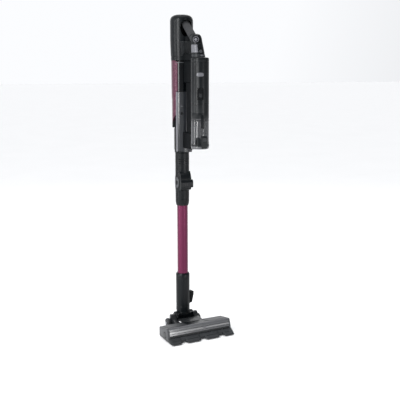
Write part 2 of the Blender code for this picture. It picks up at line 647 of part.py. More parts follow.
def bridge(half_width, z, forward=(0.0250, 0.1250)):
    """A housing between the column and the canister, hollowed to both their round walls."""
    whole = block(half_width, forward, z, 0.003)
    whole = cut(whole, cylinder(at(0, 0, z[0] - 0.01), at(0, 0, z[1] + 0.01), column_radius(z[1]) + GAP),
                cylinder(at(0, CANISTER_FORWARD, z[0] - 0.01), at(0, CANISTER_FORWARD, z[1] + 0.01),
                         CUP_FOOT_RADIUS + GAP))
    if z[0] < PORT_Z < z[1]:
        whole = cut(whole, cylinder(at(0, 0, PORT_Z), at(0, 0.2, PORT_Z), PORT_RADIUS, segments=20),
                    block(0.0500, (0.0950, 0.1300), (z[0] - 0.01, 0.6985)))
    return whole


def bridges():
    """What joins the canister to the column: the shelf under the fingers, the web and the inlet duct."""
    shelf = cut(block(SHELF_HALF_WIDTH, (0.0300, 0.1250), (0.9738, SHELF_TOP), 0.002),
                cylinder(at(0, 0, 0.96), at(0, 0, 1.01), 0.0405),
                cylinder(at(0, CANISTER_FORWARD, 0.96), at(0, CANISTER_FORWARD, CANISTER_TOP + GAP),
                         CANISTER_RADIUS + GAP),
                cylinder(at(0, 0.1335, 0.9800), at(0, 0.1305, 1.01), 0.0238))
    place("bridge_housing", join(bridge(BRIDGE_HALF_WIDTH, (0.9000, 0.9740)), shelf), black())
    place("docking_duct", bridge(DUCT_HALF_WIDTH, (0.6720, 0.7280)), black())
    place("canister_web", bridge(BRIDGE_HALF_WIDTH, (0.7285, 0.8995), (0.0560, 0.1250)), black())


def canister_insides():
    forward = CANISTER_FORWARD
    place("cup_seal", ring(0.0296, 0.0250, 0.7799, 0.7816, forward), rubber())
    place("pre_motor_filter", ring(0.0260, 0.0120, 0.7900, 0.8420, forward), filter_cloth())
    motor = turned([(0.0, 0.9100), (0.0200, 0.9100), (0.0225, 0.8900), (0.0225, 0.8600), (0.0120, 0.8560),
                    (0.0, 0.8560)], forward)
    motor = cut(motor, cylinder(at(0, forward, 0.8500), at(0, forward, 0.9200), 0.0032, segments=16))
    place("fan_motor", motor, steel())
    fan = join(cylinder(at(0, forward, 0.8480), at(0, forward, 0.8530), 0.0210, segments=24),
               cylinder(at(0, forward, 0.8500), at(0, forward, 0.9050), 0.0026, segments=16))
    place("impeller", fan, grey(), at(0, forward, 0.8500))
    wall = 0.0022
    foot = CUP_FOOT_RADIUS
    cup = turned([(CANISTER_RADIUS, CUP_TOP), (CANISTER_RADIUS, 0.7080), (foot, 0.7000), (foot, CUP_BOTTOM),
                  (foot - wall, CUP_BOTTOM), (foot - wall, 0.7000), (CANISTER_RADIUS - wall, 0.7080),
                  (CANISTER_RADIUS - wall, CUP_TOP)], forward)
    cup = cut(cup, cylinder(at(0, 0.1000, PORT_Z), at(0, 0.1300, PORT_Z), PORT_RADIUS, segments=20))
    for side in (-1, 1):
        cup = join(cup, block(0.0012, (0.1000 + 0.0090, 0.1180), (0.6905, 0.6965), centre_x=side * 0.0090),
                   block(0.0012, (0.1730, 0.1795), (0.6970, 0.7050), centre_x=side * 0.0115))
    hinge = (0.1108, 0.6935)
    latch = (0.1778, 0.7010)
    for pivot in (hinge, latch):
        cup = cut(cup, cylinder(at(-0.0200, *pivot), at(0.0200, *pivot), 0.0011 + GAP, segments=12))
    place("dust_cup", cup, smoked())
    shroud = ring(0.0170, 0.0155, 0.7180, 0.7785, forward, 24)
    place("cyclone_shroud", shroud, steel())
    cone = turned([(0.0130, 0.7780), (0.0050, 0.7240), (0.0035, 0.7240), (0.0115, 0.7780)], forward, 24)
    place("cyclone_cone", cone, grey())
    lid = turned([(0.0, CUP_BOTTOM - GAP), (0.0308, CUP_BOTTOM - GAP), (0.0312, 0.6860), (0.0290, 0.6800),
                  (0.0, 0.6790)], forward)
    lid = join(lid, block(0.0070, (0.1090, 0.1180), (0.6850, 0.6895)),
               block(0.0070, (0.1090, 0.1125), (0.6850, 0.6958)))
    lid = cut(lid, cylinder(at(-0.0200, *hinge), at(0.0200, *hinge), 0.0011 + GAP, segments=12))
    place("cup_lid", lid, smoked(), at(0, *hinge))
    place("lid_hinge_pin", cylinder(at(-0.0102, *hinge), at(0.0102, *hinge), 0.0011, segments=12), steel())
    hook = [(0.1768, 0.6820), (0.1800, 0.6830), (0.1800, 0.7180), (0.1792, 0.7240), (0.1776, 0.7240), (0.1768, 0.7050)]
    clip = cut(side_plate(hook, -0.0098, 0.0098),
               cylinder(at(-0.0200, *latch), at(0.0200, *latch), 0.0011 + GAP, segments=12))
    place("lid_latch", clip, black(), at(0, *latch))
    place("lid_latch_pin", cylinder(at(-0.0127, *latch), at(0.0127, *latch), 0.0011, segments=12), steel())


def main():
    clear_scene()
    nozzle()
    brush()
    carriage()
    wheels()
    neck()
    lower_sleeve()
    wand()
    column()
    head()
    grip_and_neck()
    canister()
    bridges()
    canister_insides()


main()
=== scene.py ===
"""Cordless stick vacuum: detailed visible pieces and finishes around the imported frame, with its studio.

Metres, +Z up. The nozzle faces -Y. "Forward" is the distance from the stick's vertical axis towards
-Y. Angles round a vertical axis are in degrees from straight ahead, positive towards +X.
"""

import json
import math

import bmesh
import bpy
from mathutils import Matrix, Vector


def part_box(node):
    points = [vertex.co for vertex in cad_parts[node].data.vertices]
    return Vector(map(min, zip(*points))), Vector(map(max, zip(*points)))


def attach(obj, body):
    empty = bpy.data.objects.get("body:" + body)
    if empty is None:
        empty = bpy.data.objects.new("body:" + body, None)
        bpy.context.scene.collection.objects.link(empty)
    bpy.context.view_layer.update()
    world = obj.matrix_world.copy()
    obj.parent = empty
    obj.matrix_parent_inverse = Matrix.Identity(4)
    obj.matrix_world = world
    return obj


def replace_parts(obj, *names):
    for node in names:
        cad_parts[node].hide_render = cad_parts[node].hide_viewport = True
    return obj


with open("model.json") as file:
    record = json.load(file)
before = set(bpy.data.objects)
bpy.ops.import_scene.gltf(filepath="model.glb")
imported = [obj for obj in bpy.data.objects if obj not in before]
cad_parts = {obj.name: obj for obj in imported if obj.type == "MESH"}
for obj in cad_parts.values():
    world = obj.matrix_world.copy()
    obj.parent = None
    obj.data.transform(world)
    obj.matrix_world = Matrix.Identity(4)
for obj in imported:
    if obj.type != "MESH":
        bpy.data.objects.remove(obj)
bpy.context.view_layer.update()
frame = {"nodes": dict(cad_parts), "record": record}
BODY = {node: body for body, nodes in frame["record"]["behaviour"]["bodies"].items() for node in nodes}
ROUND = 96                 # points round a large piece


# ---- places read from the frame ----
def low(node, axis):
    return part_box(node)[0]["XYZ".index(axis)]


def high(node, axis):
    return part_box(node)[1]["XYZ".index(axis)]


def centre_of(node):
    return (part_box(node)[0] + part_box(node)[1]) / 2


STICK_Y = centre_of("wand_tube").y
TUBE_RADIUS = high("wand_tube", "X")
ADAPTER_RADIUS = high("upper_adapter", "X")
SLEEVE_RADIUS = -low("lower_sleeve", "X")
SPINE_RADIUS = high("column_chassis", "X")
COLUMN_RADIUS = STICK_Y - low("front_panel", "Y")
PANEL_BOTTOM = low("front_panel", "Z")
PANEL_TOP = high("front_panel", "Z")
HEAD_TOP = high("head_shell", "Z")
HEAD_RADIUS = high("head_shell", "X")
CANISTER_FORWARD = STICK_Y - centre_of("cup_seal").y
CANISTER_RADIUS = -low("canister_sleeve", "X")
CANISTER_TOP = high("canister_sleeve", "Z")
NOZZLE_HALF = high("nozzle_cover", "X")
NOZZLE_REAR = STICK_Y - high("nozzle_cover", "Y")
NOZZLE_MIDDLE = (0.108, 0.01)   # forward, z that the nozzle's walls are thickened towards
CORNER_CENTRE = (0.1335, 0.0437)   # forward, z of the round edge between the deck and the window
CORNER_RADIUS = high("brush_window", "Z") - CORNER_CENTRE[1]
DECK_SLOPE, FRONT_SLOPE = 101.3, 17.3      # degrees above straight ahead that the deck and the window face
WINDOW_FOOT = (0.1482, 0.0185)     # forward, z
GRIP_START = Vector((0.0, STICK_Y - 0.01, 1.116))
ELBOW = Vector((0.0, STICK_Y - 0.114, 1.034))
PANEL_HALF_ANGLE = 60
CLASP_SIDE = -30           # direction of the clasp and the small window on the dust cup
TAIL_REAR, TAIL_FRONT = (-0.04, 0.7236), (0.03, 0.8032)    # forward, z of the line where the magenta ends
EDGE_ANGLE = 32            # least angle, in degrees, between faces whose shared edge is rounded
SHARP_ANGLE = 35           # least angle, in degrees, between faces that aren't shaded as one
PAD_EDGE = 0.0004          # size of the chamfer round a raised pad


def at(x, forward, z):
    return Vector((x, STICK_Y - forward, z))


# ---- finishes ----
MADE = {}
COAT_ROUGHNESS, PLASTIC_IOR = 0.06, 1.48
EDGE_HIGHLIGHT_FROM, EDGE_HIGHLIGHT_TO = 0.56, 0.72    # pointiness at which the painted edge highlight starts, and where it is at full strength


def node_in(tree, kind, **inputs):
    made = tree.nodes.new(kind)
    for name, value in inputs.items():
        made.inputs[name.replace("_", " ")].default_value = value
    return made


def shade(colour, factor):
    return (*[min(1.0, channel * factor) for channel in colour], 1.0)


def noise(tree, place, scale, detail, stretch):
    """Procedural noise in object space, drawn out along an axis where stretch is below one."""
    mapping = node_in(tree, "ShaderNodeMapping", Scale=stretch)
    tree.links.new(place.outputs["Object"], mapping.inputs["Vector"])
    made = node_in(tree, "ShaderNodeTexNoise", Scale=scale, Detail=detail, Roughness=0.55)
    tree.links.new(mapping.outputs["Vector"], made.inputs["Vector"])
    return made.outputs["Fac"]


def remap(tree, value, low_in, high_in, low_out, high_out):
    made = node_in(tree, "ShaderNodeMapRange", From_Min=low_in, From_Max=high_in, To_Min=low_out,
        To_Max=high_out)
    tree.links.new(value, made.inputs["Value"])
    return made.outputs["Result"]


def ramp(tree, value, low_at, low_colour, high_at, high_colour):
    """A colour that goes from one to the other as the value rises between two places."""
    made = tree.nodes.new("ShaderNodeValToRGB")
    first, last = made.color_ramp.elements
    first.position, first.color = low_at, low_colour
    last.position, last.color = high_at, high_colour
    tree.links.new(value, made.inputs["Fac"])
    return made.outputs["Color"]


def finish(name, colour, roughness, metallic=0.0, coat=0.0, clear=0.0, grain=0.0, grain_scale=1500.0,
        mottle=0.1, uneven=0.05, painted_edge_highlight=0.0, stretch=(1.0, 1.0, 1.0), specular=0.5, mottle_scale=22.0):
    """A moulded, metal or rubber finish: mottled colour, uneven gloss, fine grain and paler edges that are a
    painted highlight.
    """
    if name in MADE:
        return MADE[name]
    made = MADE[name] = bpy.data.materials.new(name + "_finish")
    made.use_nodes = True
    tree = made.node_tree
    shader = tree.nodes["Principled BSDF"]
    for socket, value in (("Metallic", metallic), ("Coat Weight", coat), ("Coat Roughness", COAT_ROUGHNESS),
            ("Transmission Weight", clear), ("IOR", PLASTIC_IOR), ("Specular IOR Level", specular)):
        shader.inputs[socket].default_value = value
    place = tree.nodes.new("ShaderNodeTexCoord")
    surface = ramp(tree, noise(tree, place, mottle_scale, 5.0, stretch), 0.3, shade(colour, 1 - mottle),
        0.7, shade(colour, 1 + mottle))
    # a paler colour mixed in where the surface is sharply convex: a painted edge highlight
    if painted_edge_highlight:
        geometry = tree.nodes.new("ShaderNodeNewGeometry")
        edge = remap(tree, geometry.outputs["Pointiness"], EDGE_HIGHLIGHT_FROM, EDGE_HIGHLIGHT_TO, 0.0, painted_edge_highlight)
        mix = tree.nodes.new("ShaderNodeMix")
        mix.data_type = "RGBA"
        mix.inputs["B"].default_value = shade([channel + 0.06 for channel in colour], 1.6)
        tree.links.new(edge, mix.inputs["Factor"])
        tree.links.new(surface, mix.inputs["A"])
        surface = mix.outputs["Result"]
    tree.links.new(surface, shader.inputs["Base Color"])
    gloss = remap(tree, noise(tree, place, 75.0, 4.0, stretch), 0.3, 0.7, max(0.02, roughness - uneven),
        roughness + uneven)
    tree.links.new(gloss, shader.inputs["Roughness"])
    if grain:
        bump = node_in(tree, "ShaderNodeBump", Strength=grain, Distance=0.0002)
        tree.links.new(noise(tree, place, grain_scale, 2.0, stretch), bump.inputs["Height"])
        tree.links.new(bump.outputs["Normal"], shader.inputs["Normal"])
    return made


FINISHES = {
    "black_plastic": dict(colour=(0.0026, 0.0038, 0.0048), roughness=0.31, grain=0.3, painted_edge_highlight=0.25,
        specular=0.19),
    "grey_plastic": dict(colour=(0.04, 0.042, 0.046), roughness=0.34, grain=0.25, painted_edge_highlight=0.2, specular=0.4),
    "dark_grey_plastic": dict(colour=(0.016, 0.018, 0.02), roughness=0.42, grain=0.35, painted_edge_highlight=0.2,
        specular=0.25),
    "gloss_black": dict(colour=(0.0014, 0.002, 0.0026), roughness=0.1, uneven=0.03, mottle=0.2,
        specular=0.2),
    "matt_black": dict(colour=(0.0016, 0.0022, 0.0028), roughness=0.55, grain=0.35, mottle=0.15,
        specular=0.06),
    "smoked_gloss": dict(colour=(0.07, 0.072, 0.077), roughness=0.18, coat=0.4, clear=0.12, uneven=0.03,
        mottle=0.06),
    "smoked_dark": dict(colour=(0.018, 0.02, 0.023), roughness=0.16, coat=0.2, clear=0.1, specular=0.3,
        uneven=0.03, mottle=0.08),
    "smoked_clear": dict(colour=(0.15, 0.155, 0.165), roughness=0.1, specular=0.25, clear=0.78,
        uneven=0.03, mottle=0.05),
    "magenta_tube": dict(colour=(0.105, 0.013, 0.045), roughness=0.25, metallic=0.65, coat=0.1,
        specular=0.3, grain=0.2, grain_scale=420.0, stretch=(1.0, 1.0, 0.02), mottle=0.14, uneven=0.06),
    "magenta_plastic": dict(colour=(0.072, 0.02, 0.038), roughness=0.26, metallic=0.35, coat=0.25,
        specular=0.3, grain=0.1, mottle=0.03, painted_edge_highlight=0.2),
    "lilac_trim": dict(colour=(0.095, 0.096, 0.108), roughness=0.36, metallic=0.1, grain=0.12, painted_edge_highlight=0.2),
    "steel": dict(colour=(0.4, 0.4, 0.42), roughness=0.28, metallic=1.0, grain=0.2, grain_scale=600.0,
        stretch=(1.0, 1.0, 0.05)),
    "motor_case": dict(colour=(0.25, 0.24, 0.22), roughness=0.34, metallic=0.9, grain=0.2, mottle=0.15),
    "rubber": dict(colour=(0.013, 0.014, 0.016), roughness=0.58, grain=0.45, grain_scale=900.0,
        mottle=0.18),
    "bristle": dict(colour=(0.02, 0.02, 0.024), roughness=0.8, grain=0.6, grain_scale=2600.0, mottle=0.3,
        stretch=(0.2, 1.0, 1.0)),
    "filter_cloth": dict(colour=(0.55, 0.55, 0.52), roughness=0.92, grain=0.8, grain_scale=1100.0,
        mottle=0.12),
    "circuit_board": dict(colour=(0.02, 0.12, 0.06), roughness=0.45, mottle=0.35, mottle_scale=160.0),
}


def look_of(name):
    return finish(name, **FINISHES[name])


# ---- mesh building blocks ----
def mesh_from(bm):
    bmesh.ops.recalc_face_normals(bm, faces=bm.faces)
    mesh = bpy.data.meshes.new("work")
    bm.to_mesh(mesh)
    bm.free()
    return mesh


def merged(*meshes):
    """Several meshes as one, with no cutting between them."""
    bm = bmesh.new()
    for mesh in meshes:
        bm.from_mesh(mesh)
        bpy.data.meshes.remove(mesh)
    made = bpy.data.meshes.new("work")
    bm.to_mesh(made)
    bm.free()
    return made


def arc(centre, radius, start, end, steps):
    """Points on a circle, angles in degrees from the first axis towards the second."""
    angles = [math.radians(start + (end - start) * i / steps) for i in range(steps + 1)]
    return [(centre[0] + radius * math.cos(a), centre[1] + radius * math.sin(a)) for a in angles]


def shoulder(radius, top, size, steps):
    """The rounded upper edge of a turned body, as (radius, z) from its flat top outwards."""
    angles = [math.radians(90 / steps * i) for i in range(steps + 1)]
    return [(radius - size + size * math.sin(a), top - size + size * math.cos(a)) for a in angles]


def loft(sections, capped=True):
    """A body through rings of equally many points."""
    bm = bmesh.new()
    rings = [[bm.verts.new(point) for point in section] for section in sections]
    for first, second in zip(rings, rings[1:]):
        for i in range(len(first)):
            j = (i + 1) % len(first)
            bm.faces.new((first[i], first[j], second[j], second[i]))
    if capped:
        bm.faces.new(rings[0])
        bm.faces.new(rings[-1])
    return mesh_from(bm)


def turned(profile, forward=0.0, segments=ROUND, closed=True):
    """A turned body about a vertical axis from a (radius, z) profile."""
    rows = list(profile) + ([profile[0]] if closed else [])
    sections = [[at(max(r, 0.00001) * math.sin(a), forward + max(r, 0.00001) * math.cos(a), z)
        for a in [2 * math.pi * i / segments for i in range(segments)]] for r, z in rows]
    mesh = loft(sections, capped=False)
    bm = bmesh.new()
    bm.from_mesh(mesh)
    bpy.data.meshes.remove(mesh)
    bmesh.ops.remove_doubles(bm, verts=bm.verts, dist=0.00003)
    return mesh_from(bm)


def rounded(corners, radius, steps=5):
    """A closed outline with each corner replaced by a small curve."""
    points = []
    for i, corner in enumerate(corners):
        corner = Vector(corner)
        before = Vector(corners[i - 1]) - corner
        after = Vector(corners[(i + 1) % len(corners)]) - corner
        reach = min(radius, before.length * 0.45, after.length * 0.45)
        first = corner + before.normalized() * reach
        last = corner + after.normalized() * reach
        for k in range(steps + 1):
            t = k / steps
            points.append(tuple(first * (1 - t) ** 2 + corner * 2 * t * (1 - t) + last * t ** 2))
    return points


def side_prism(outline, x_low, x_high):
    """A plate whose outline is (forward, z), between two values of x."""
    return loft([[at(x, forward, z) for forward, z in outline] for x in (x_low, x_high)])


def front_prism(outline, forward_low, forward_high):
    """A plate whose outline is (x, z), between two distances forward."""
    return loft([[at(x, forward, z) for x, z in outline] for forward in (forward_low, forward_high)])


def block(half_width, forward, z, centre_x=0.0):
    """A block that spans the ranges forward and z, centred sideways on centre_x."""
    return front_prism([(centre_x - half_width, z[0]), (centre_x + half_width, z[0]),
        (centre_x + half_width, z[1]), (centre_x - half_width, z[1])], *forward)


def rectangle(half_x, half_z, radius):
    """A rounded rectangle round (0, 0), for a front_prism."""
    return rounded([(-half_x, -half_z), (half_x, -half_z), (half_x, half_z), (-half_x, half_z)], radius)


def bar(start, end, radius, end_radius=None, segments=48):
    """A round bar or cone from one point to another."""
    start, end = Vector(start), Vector(end)
    turn = (end - start).to_track_quat("Z", "Y")
    rings = []
    for point, size in ((start, radius), (end, radius if end_radius is None else end_radius)):
        rings.append([point + turn @ Vector((size * math.cos(a), size * math.sin(a), 0.0))
            for a in [2 * math.pi * i / segments for i in range(segments)]])
    return loft(rings)


def spindle(axis_start, axis_end, profile, segments=64):
    """A turned body along any axis; the profile is (distance from the start, radius), both ends closed."""
    start, run = Vector(axis_start), Vector(axis_end) - Vector(axis_start)
    turn = run.to_track_quat("Z", "Y")
    rings = [[start + turn @ Vector((r * math.cos(a), r * math.sin(a), along))
        for a in [2 * math.pi * i / segments for i in range(segments)]] for along, r in profile]
    return loft(rings)


def hoop(inner, outer, z_first, z_last, forward=0.0):
    """A flat ring about a vertical axis."""
    return turned([(inner, z_first), (outer, z_first), (outer, z_last), (inner, z_last)], forward)


def cut(target, *tools):
    """Take the tools away from a body with exact Booleans."""
    for tool in tools:
        pair = [bpy.data.objects.new("pair", mesh) for mesh in (target, tool)]
        for item in pair:
            bpy.context.scene.collection.objects.link(item)
        change = pair[0].modifiers.new("change", "BOOLEAN")
        change.operation, change.solver, change.object = "DIFFERENCE", "EXACT", pair[1]
        bpy.context.view_layer.update()
        result = bpy.data.meshes.new_from_object(pair[0].evaluated_get(bpy.context.evaluated_depsgraph_get()))
        for item, mesh in zip(pair, (target, tool)):
            bpy.data.objects.remove(item, do_unlink=True)
            bpy.data.meshes.remove(mesh)
        target = result
    return target


def sector(rows, start, end, steps, forward=0.0):
    """A curved panel about a vertical axis, through rows of (z, inner radius, outer radius)."""
    sections = []
    for z, inner, outer in rows:
        line = arc((0, 0), outer, start, end, steps) + arc((0, 0), inner, end, start, steps)
        sections.append([at(side, forward + ahead, z) for ahead, side in line])
    return loft(sections)


def patch(radius, angle, z, half_arc, half_height, rise, forward=0.0, power=4.0, points=48):
    """A raised pad that follows a round wall; power 2 makes an oval and 4 or more a rounded rectangle."""
    outline = []
    for i in range(points):
        t = 2 * math.pi * i / points
        c, s = math.cos(t), math.sin(t)
        outline.append((half_arc * math.copysign(abs(c) ** (2 / power), c),
            half_height * math.copysign(abs(s) ** (2 / power), s)))
    sections = []
    for scale, out in ((1.0, -0.0008), (1.0, rise - PAD_EDGE), (1 - PAD_EDGE / half_height, rise),
            (0.5, rise), (0.02, rise)):
        ring = []
        for along, up in outline:
            a = math.radians(angle) + along * scale / radius
            ring.append(at((radius + out) * math.sin(a), forward + (radius + out) * math.cos(a),
                z + up * scale))
        sections.append(ring)
    return loft(sections)


def slanted_band(radius, z, tilt, height, rise, lean):
    """A thin raised band round the stick whose height follows a slanted plane."""
    rings = []
    for out, up in ((-0.001, 0.0), (rise, 0.0), (rise, height), (-0.001, height)):
        ring = []
        for i in range(ROUND):
            a = 2 * math.pi * i / ROUND
            ring.append(at((radius + out) * math.sin(a), (radius + out) * math.cos(a),
                z + up + tilt * math.cos(a - math.radians(lean))))
        rings.append(ring)
    return loft(rings + [rings[0]], capped=False)


# ---- placing pieces ----
def show(name, body, mesh, look, soft):
    """Link a piece in world coordinates, with its finish, rounded edges and the body that carries it."""
    mesh.name = name
    mesh.materials.clear()
    mesh.materials.append(look_of(look))
    mesh.shade_smooth()
    mesh.set_sharp_from_angle(angle=math.radians(SHARP_ANGLE))
    piece = bpy.data.objects.new(name, mesh)
    bpy.context.scene.collection.objects.link(piece)
    if soft:
        soften(piece, soft)
    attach(piece, body)
    return piece


def soften(piece, width):
    edge = piece.modifiers.new("edges", "BEVEL")
    edge.width, edge.segments = width, 2
    edge.limit_method, edge.angle_limit = "ANGLE", math.radians(EDGE_ANGLE)


def stand_in(node, mesh, look, soft=0.0):
    """A detailed piece that stands for a node of the frame."""
    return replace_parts(show(node + ".look", BODY[node], mesh, look, soft), node)


def add(name, node, mesh, look, soft=0.0):
    """A detail that moves with the node it sits on."""
    return show(name, BODY[node], mesh, look, soft)


def ribs(name, node, count, ends, radius, look, segments=12):
    """Round bars between the two ends worked out for each number from 0 up."""
    for i in range(count):
        add(f"{name}_{i + 1}", node, bar(*ends(i), radius, segments=segments), look)


# ---- floor nozzle ----
def deck():
    """The nozzle's top from its rear edge forward, rising to the round front edge."""
    edge = rounded([(NOZZLE_REAR, 0.02), (NOZZLE_REAR, 0.0368), (0.1, 0.0436)], 0.004)
    return edge[6:12] + [(0.1, 0.0436)]


def front(start, end=FRONT_SLOPE, out=0.0):
    """The round front edge from the given direction, and the steep face down to the window's foot."""
    face = [(0.1397, 0.0456), (0.1424, 0.039), (0.1446, 0.032), (0.1466, 0.025), WINDOW_FOOT]
    line = arc(CORNER_CENTRE, CORNER_RADIUS + out, start, end, 16)
    return line + [(forward + out, z) for forward, z in face[1:]] if end == FRONT_SLOPE else line


def moved_in(line, thickness):
    inner = []
    for forward, z in reversed(line):
        run = math.hypot(forward - NOZZLE_MIDDLE[0], z - NOZZLE_MIDDLE[1])
        keep = 1 - thickness / run
        inner.append((NOZZLE_MIDDLE[0] + (forward - NOZZLE_MIDDLE[0]) * keep,
            NOZZLE_MIDDLE[1] + (z - NOZZLE_MIDDLE[1]) * keep))
    return inner


def wall_of(line, thickness):
    return line + moved_in(line, thickness)


def nozzle_shell():
    wall = 0.0025
    seam = (CORNER_CENTRE[0] - 0.0022, CORNER_CENTRE[1] + 0.0062)
    line = [(NOZZLE_REAR, 0.009)] + deck() + [seam]
    cover = side_prism(wall_of(line, wall), -NOZZLE_HALF, NOZZLE_HALF)
    cover = cut(cover, block(0.0365, (0.06, 0.076), (0.0, 0.052)))
    for i in range(3):
        cover = cut(cover, block(0.03 - 0.006 * i, (0.08 + 0.007 * i, 0.0836 + 0.007 * i), (0.03, 0.06)))
    stand_in("nozzle_cover", cover, "black_plastic", 0.0005)
    add("cover_slot_backing", "nozzle_cover", side_prism([(0.078, 0.0355), (0.1, 0.0402), (0.1, 0.0392),
        (0.078, 0.0345)], -0.034, 0.034), "gloss_black")
    for name, side in (("left", -1), ("right", 1)):
        low_x, high_x = sorted((side * 0.042, side * (NOZZLE_HALF - 0.001)))
        top = [(0.0745, 0.0389), (0.1285, 0.0497)]
        raised = [(forward - 0.0001, z + 0.0006) for forward, z in top]
        add(name + "_deck_plate", "nozzle_cover", side_prism(top + raised[::-1], low_x, high_x),
            "dark_grey_plastic")
    stand_in("brush_window", side_prism(wall_of(front(DECK_SLOPE - 1), wall), -NOZZLE_HALF, NOZZLE_HALF),
        "smoked_gloss", 0.0004)
    # a thin rim over the round corner between deck and window, coloured pale lilac as a painted highlight
    # along that edge
    add("window_corner_rim_highlight", "brush_window", side_prism(wall_of(front(92.0, 76.0, 0.0004), 0.0012),
        -NOZZLE_HALF, NOZZLE_HALF), "lilac_trim", 0.0002)
    foot = [(0.1466, 0.025), WINDOW_FOOT]
    add("window_bottom_rim", "brush_window", side_prism(wall_of([(f + 0.0004, z) for f, z in foot], 0.0016),
        -NOZZLE_HALF, NOZZLE_HALF), "black_plastic", 0.0003)
    for i in range(2):
        z = 0.03 + 0.009 * i
        f = 0.1452 - (z - 0.03) * 0.3
        add(f"window_groove_{i + 1}", "brush_window", side_prism([(f - 0.001, z - 0.0005),
            (f + 0.0003, z - 0.0005), (f + 0.0002, z + 0.0005), (f - 0.001, z + 0.0005)], -NOZZLE_HALF,
            NOZZLE_HALF), "gloss_black")
    add("plain_window_badge", "brush_window", side_prism([(0.144, 0.0345), (0.145, 0.0345),
        (0.1441, 0.0372), (0.1431, 0.0372)], 0.012, 0.03), "lilac_trim", 0.0002)


def end_caps():
    outline = ([(NOZZLE_REAR, 0.006)] + deck() + front(DECK_SLOPE) + [(0.1482, 0.005), (0.145, 0.003),
        (0.069, 0.003)])
    middle = Vector((0.108, 0.022))
    for name, side in (("left_end_cap", -1), ("right_end_cap", 1)):
        inner_face, outer_face = side * NOZZLE_HALF, side * 0.125
        rings = []
        for x, scale in ((inner_face, 1.0), (outer_face - side * 0.0022, 1.0),
                (outer_face - side * 0.0009, 0.985), (outer_face - side * 0.0002, 0.96), (outer_face, 0.93),
                (outer_face, 0.86), (outer_face - side * 0.0008, 0.85), (outer_face - side * 0.0008, 0.82),
                (outer_face - side * 0.0001, 0.81), (outer_face - side * 0.0001, 0.1)):
            rings.append([at(x, *(middle + (Vector(point) - middle) * scale)) for point in outline])
        stand_in(name, loft(rings), "grey_plastic")
        hub = at(side * 0.1238, 0.118, 0.022)
        add(name + "_hub", name, spindle(hub, hub + Vector((side * 0.002, 0, 0)),
            [(0.0, 0.012), (0.0007, 0.012), (0.0011, 0.0114), (0.0011, 0.008), (0.0006, 0.0075),
            (0.0006, 0.001)]), "black_plastic")
        slot = rounded([(0.1115, 0.0208), (0.1245, 0.0208), (0.1245, 0.0232), (0.1115, 0.0232)], 0.001)
        add(name + "_coin_slot", name, side_prism(slot, *sorted((side * 0.1238, side * 0.12465))),
            "gloss_black")


def bumper():
    half = high("front_bumper", "X")
    inner = 0.1488
    nose = [(inner, 0.004), (inner, 0.017), (0.151, 0.018), (0.162, 0.014), (0.1755, 0.0085),
        (0.1792, 0.0068), (0.18, 0.0056), (0.1796, 0.004)]
    edges = [-half] + [notch + side * 0.0085 for notch in (-0.074, 0.0, 0.074) for side in (-1, 1)] + [half]
    lobes = []
    for left, right in zip(edges[::2], edges[1::2]):
        rings = []
        for share in [0.5 - 0.5 * math.cos(math.pi * i / 20) for i in range(21)]:
            swell = 1 - 0.34 * max(0.0, abs(2 * share - 1) - 0.8) / 0.2 * abs(2 * share - 1) ** 6
            x = left + (right - left) * share
            rings.append([at(x, inner + (forward - inner) * swell, z) for forward, z in nose])
        lobes.append(loft(rings))
    root = [(inner, 0.004), (inner, 0.017), (0.151, 0.018), (0.162, 0.014), (0.164, 0.0128), (0.164, 0.004)]
    for left, right in zip(edges[1:-1:2], edges[2:-1:2]):
        lobes.append(side_prism(root, left - 0.0002, right + 0.0002))
    whole = merged(*lobes)
    for node in ("left_sole_roller", "right_sole_roller"):
        whole = cut(whole, block(0.0085, (0.1518, 0.1642), (0.0, 0.0106), centre_x=centre_of(node).x))
    stand_in("front_bumper", whole, "dark_grey_plastic", 0.0004)
    for i, (left, right) in enumerate(zip(edges[::2], edges[1::2])):
        x, reach = (left + right) / 2, (right - left) / 2 - 0.008
        add(f"bumper_groove_{i + 1}", "front_bumper", side_prism([(0.166, 0.0126), (0.1672, 0.0124),
            (0.1672, 0.0116), (0.166, 0.0118)], x - reach, x + reach), "gloss_black")


def brush():
    middle = centre_of("brush_roll")
    forward, z = 0.118, middle.z
    half = high("brush_roll", "X")
    core = spindle(at(low("brush_roll", "X"), forward, z), at(half, forward, z),
        [(0.0, 0.0085), (0.007, 0.0085), (0.0075, 0.0135), (0.009, 0.014), (2 * half - 0.004, 0.014),
        (2 * half + 0.005, 0.013), (2 * half + 0.008, 0.006)])
    tufts = [core]
    rows, steps = 6, 44
    for row in range(rows):
        for step in range(steps):
            x = half * 0.94 * (2 * (step + 0.5) / steps - 1)
            angle = 2 * math.pi * row / rows + math.radians(150) * abs((step + 0.5) / steps - 0.5)
            out = Vector((0.0, -math.cos(angle), math.sin(angle)))
            foot = at(x, forward, z)
            tufts.append(bar(foot + out * 0.013, foot + out * 0.0203, 0.0012, 0.0019, segments=7))
    stand_in("brush_roll", merged(*tufts), "bristle")


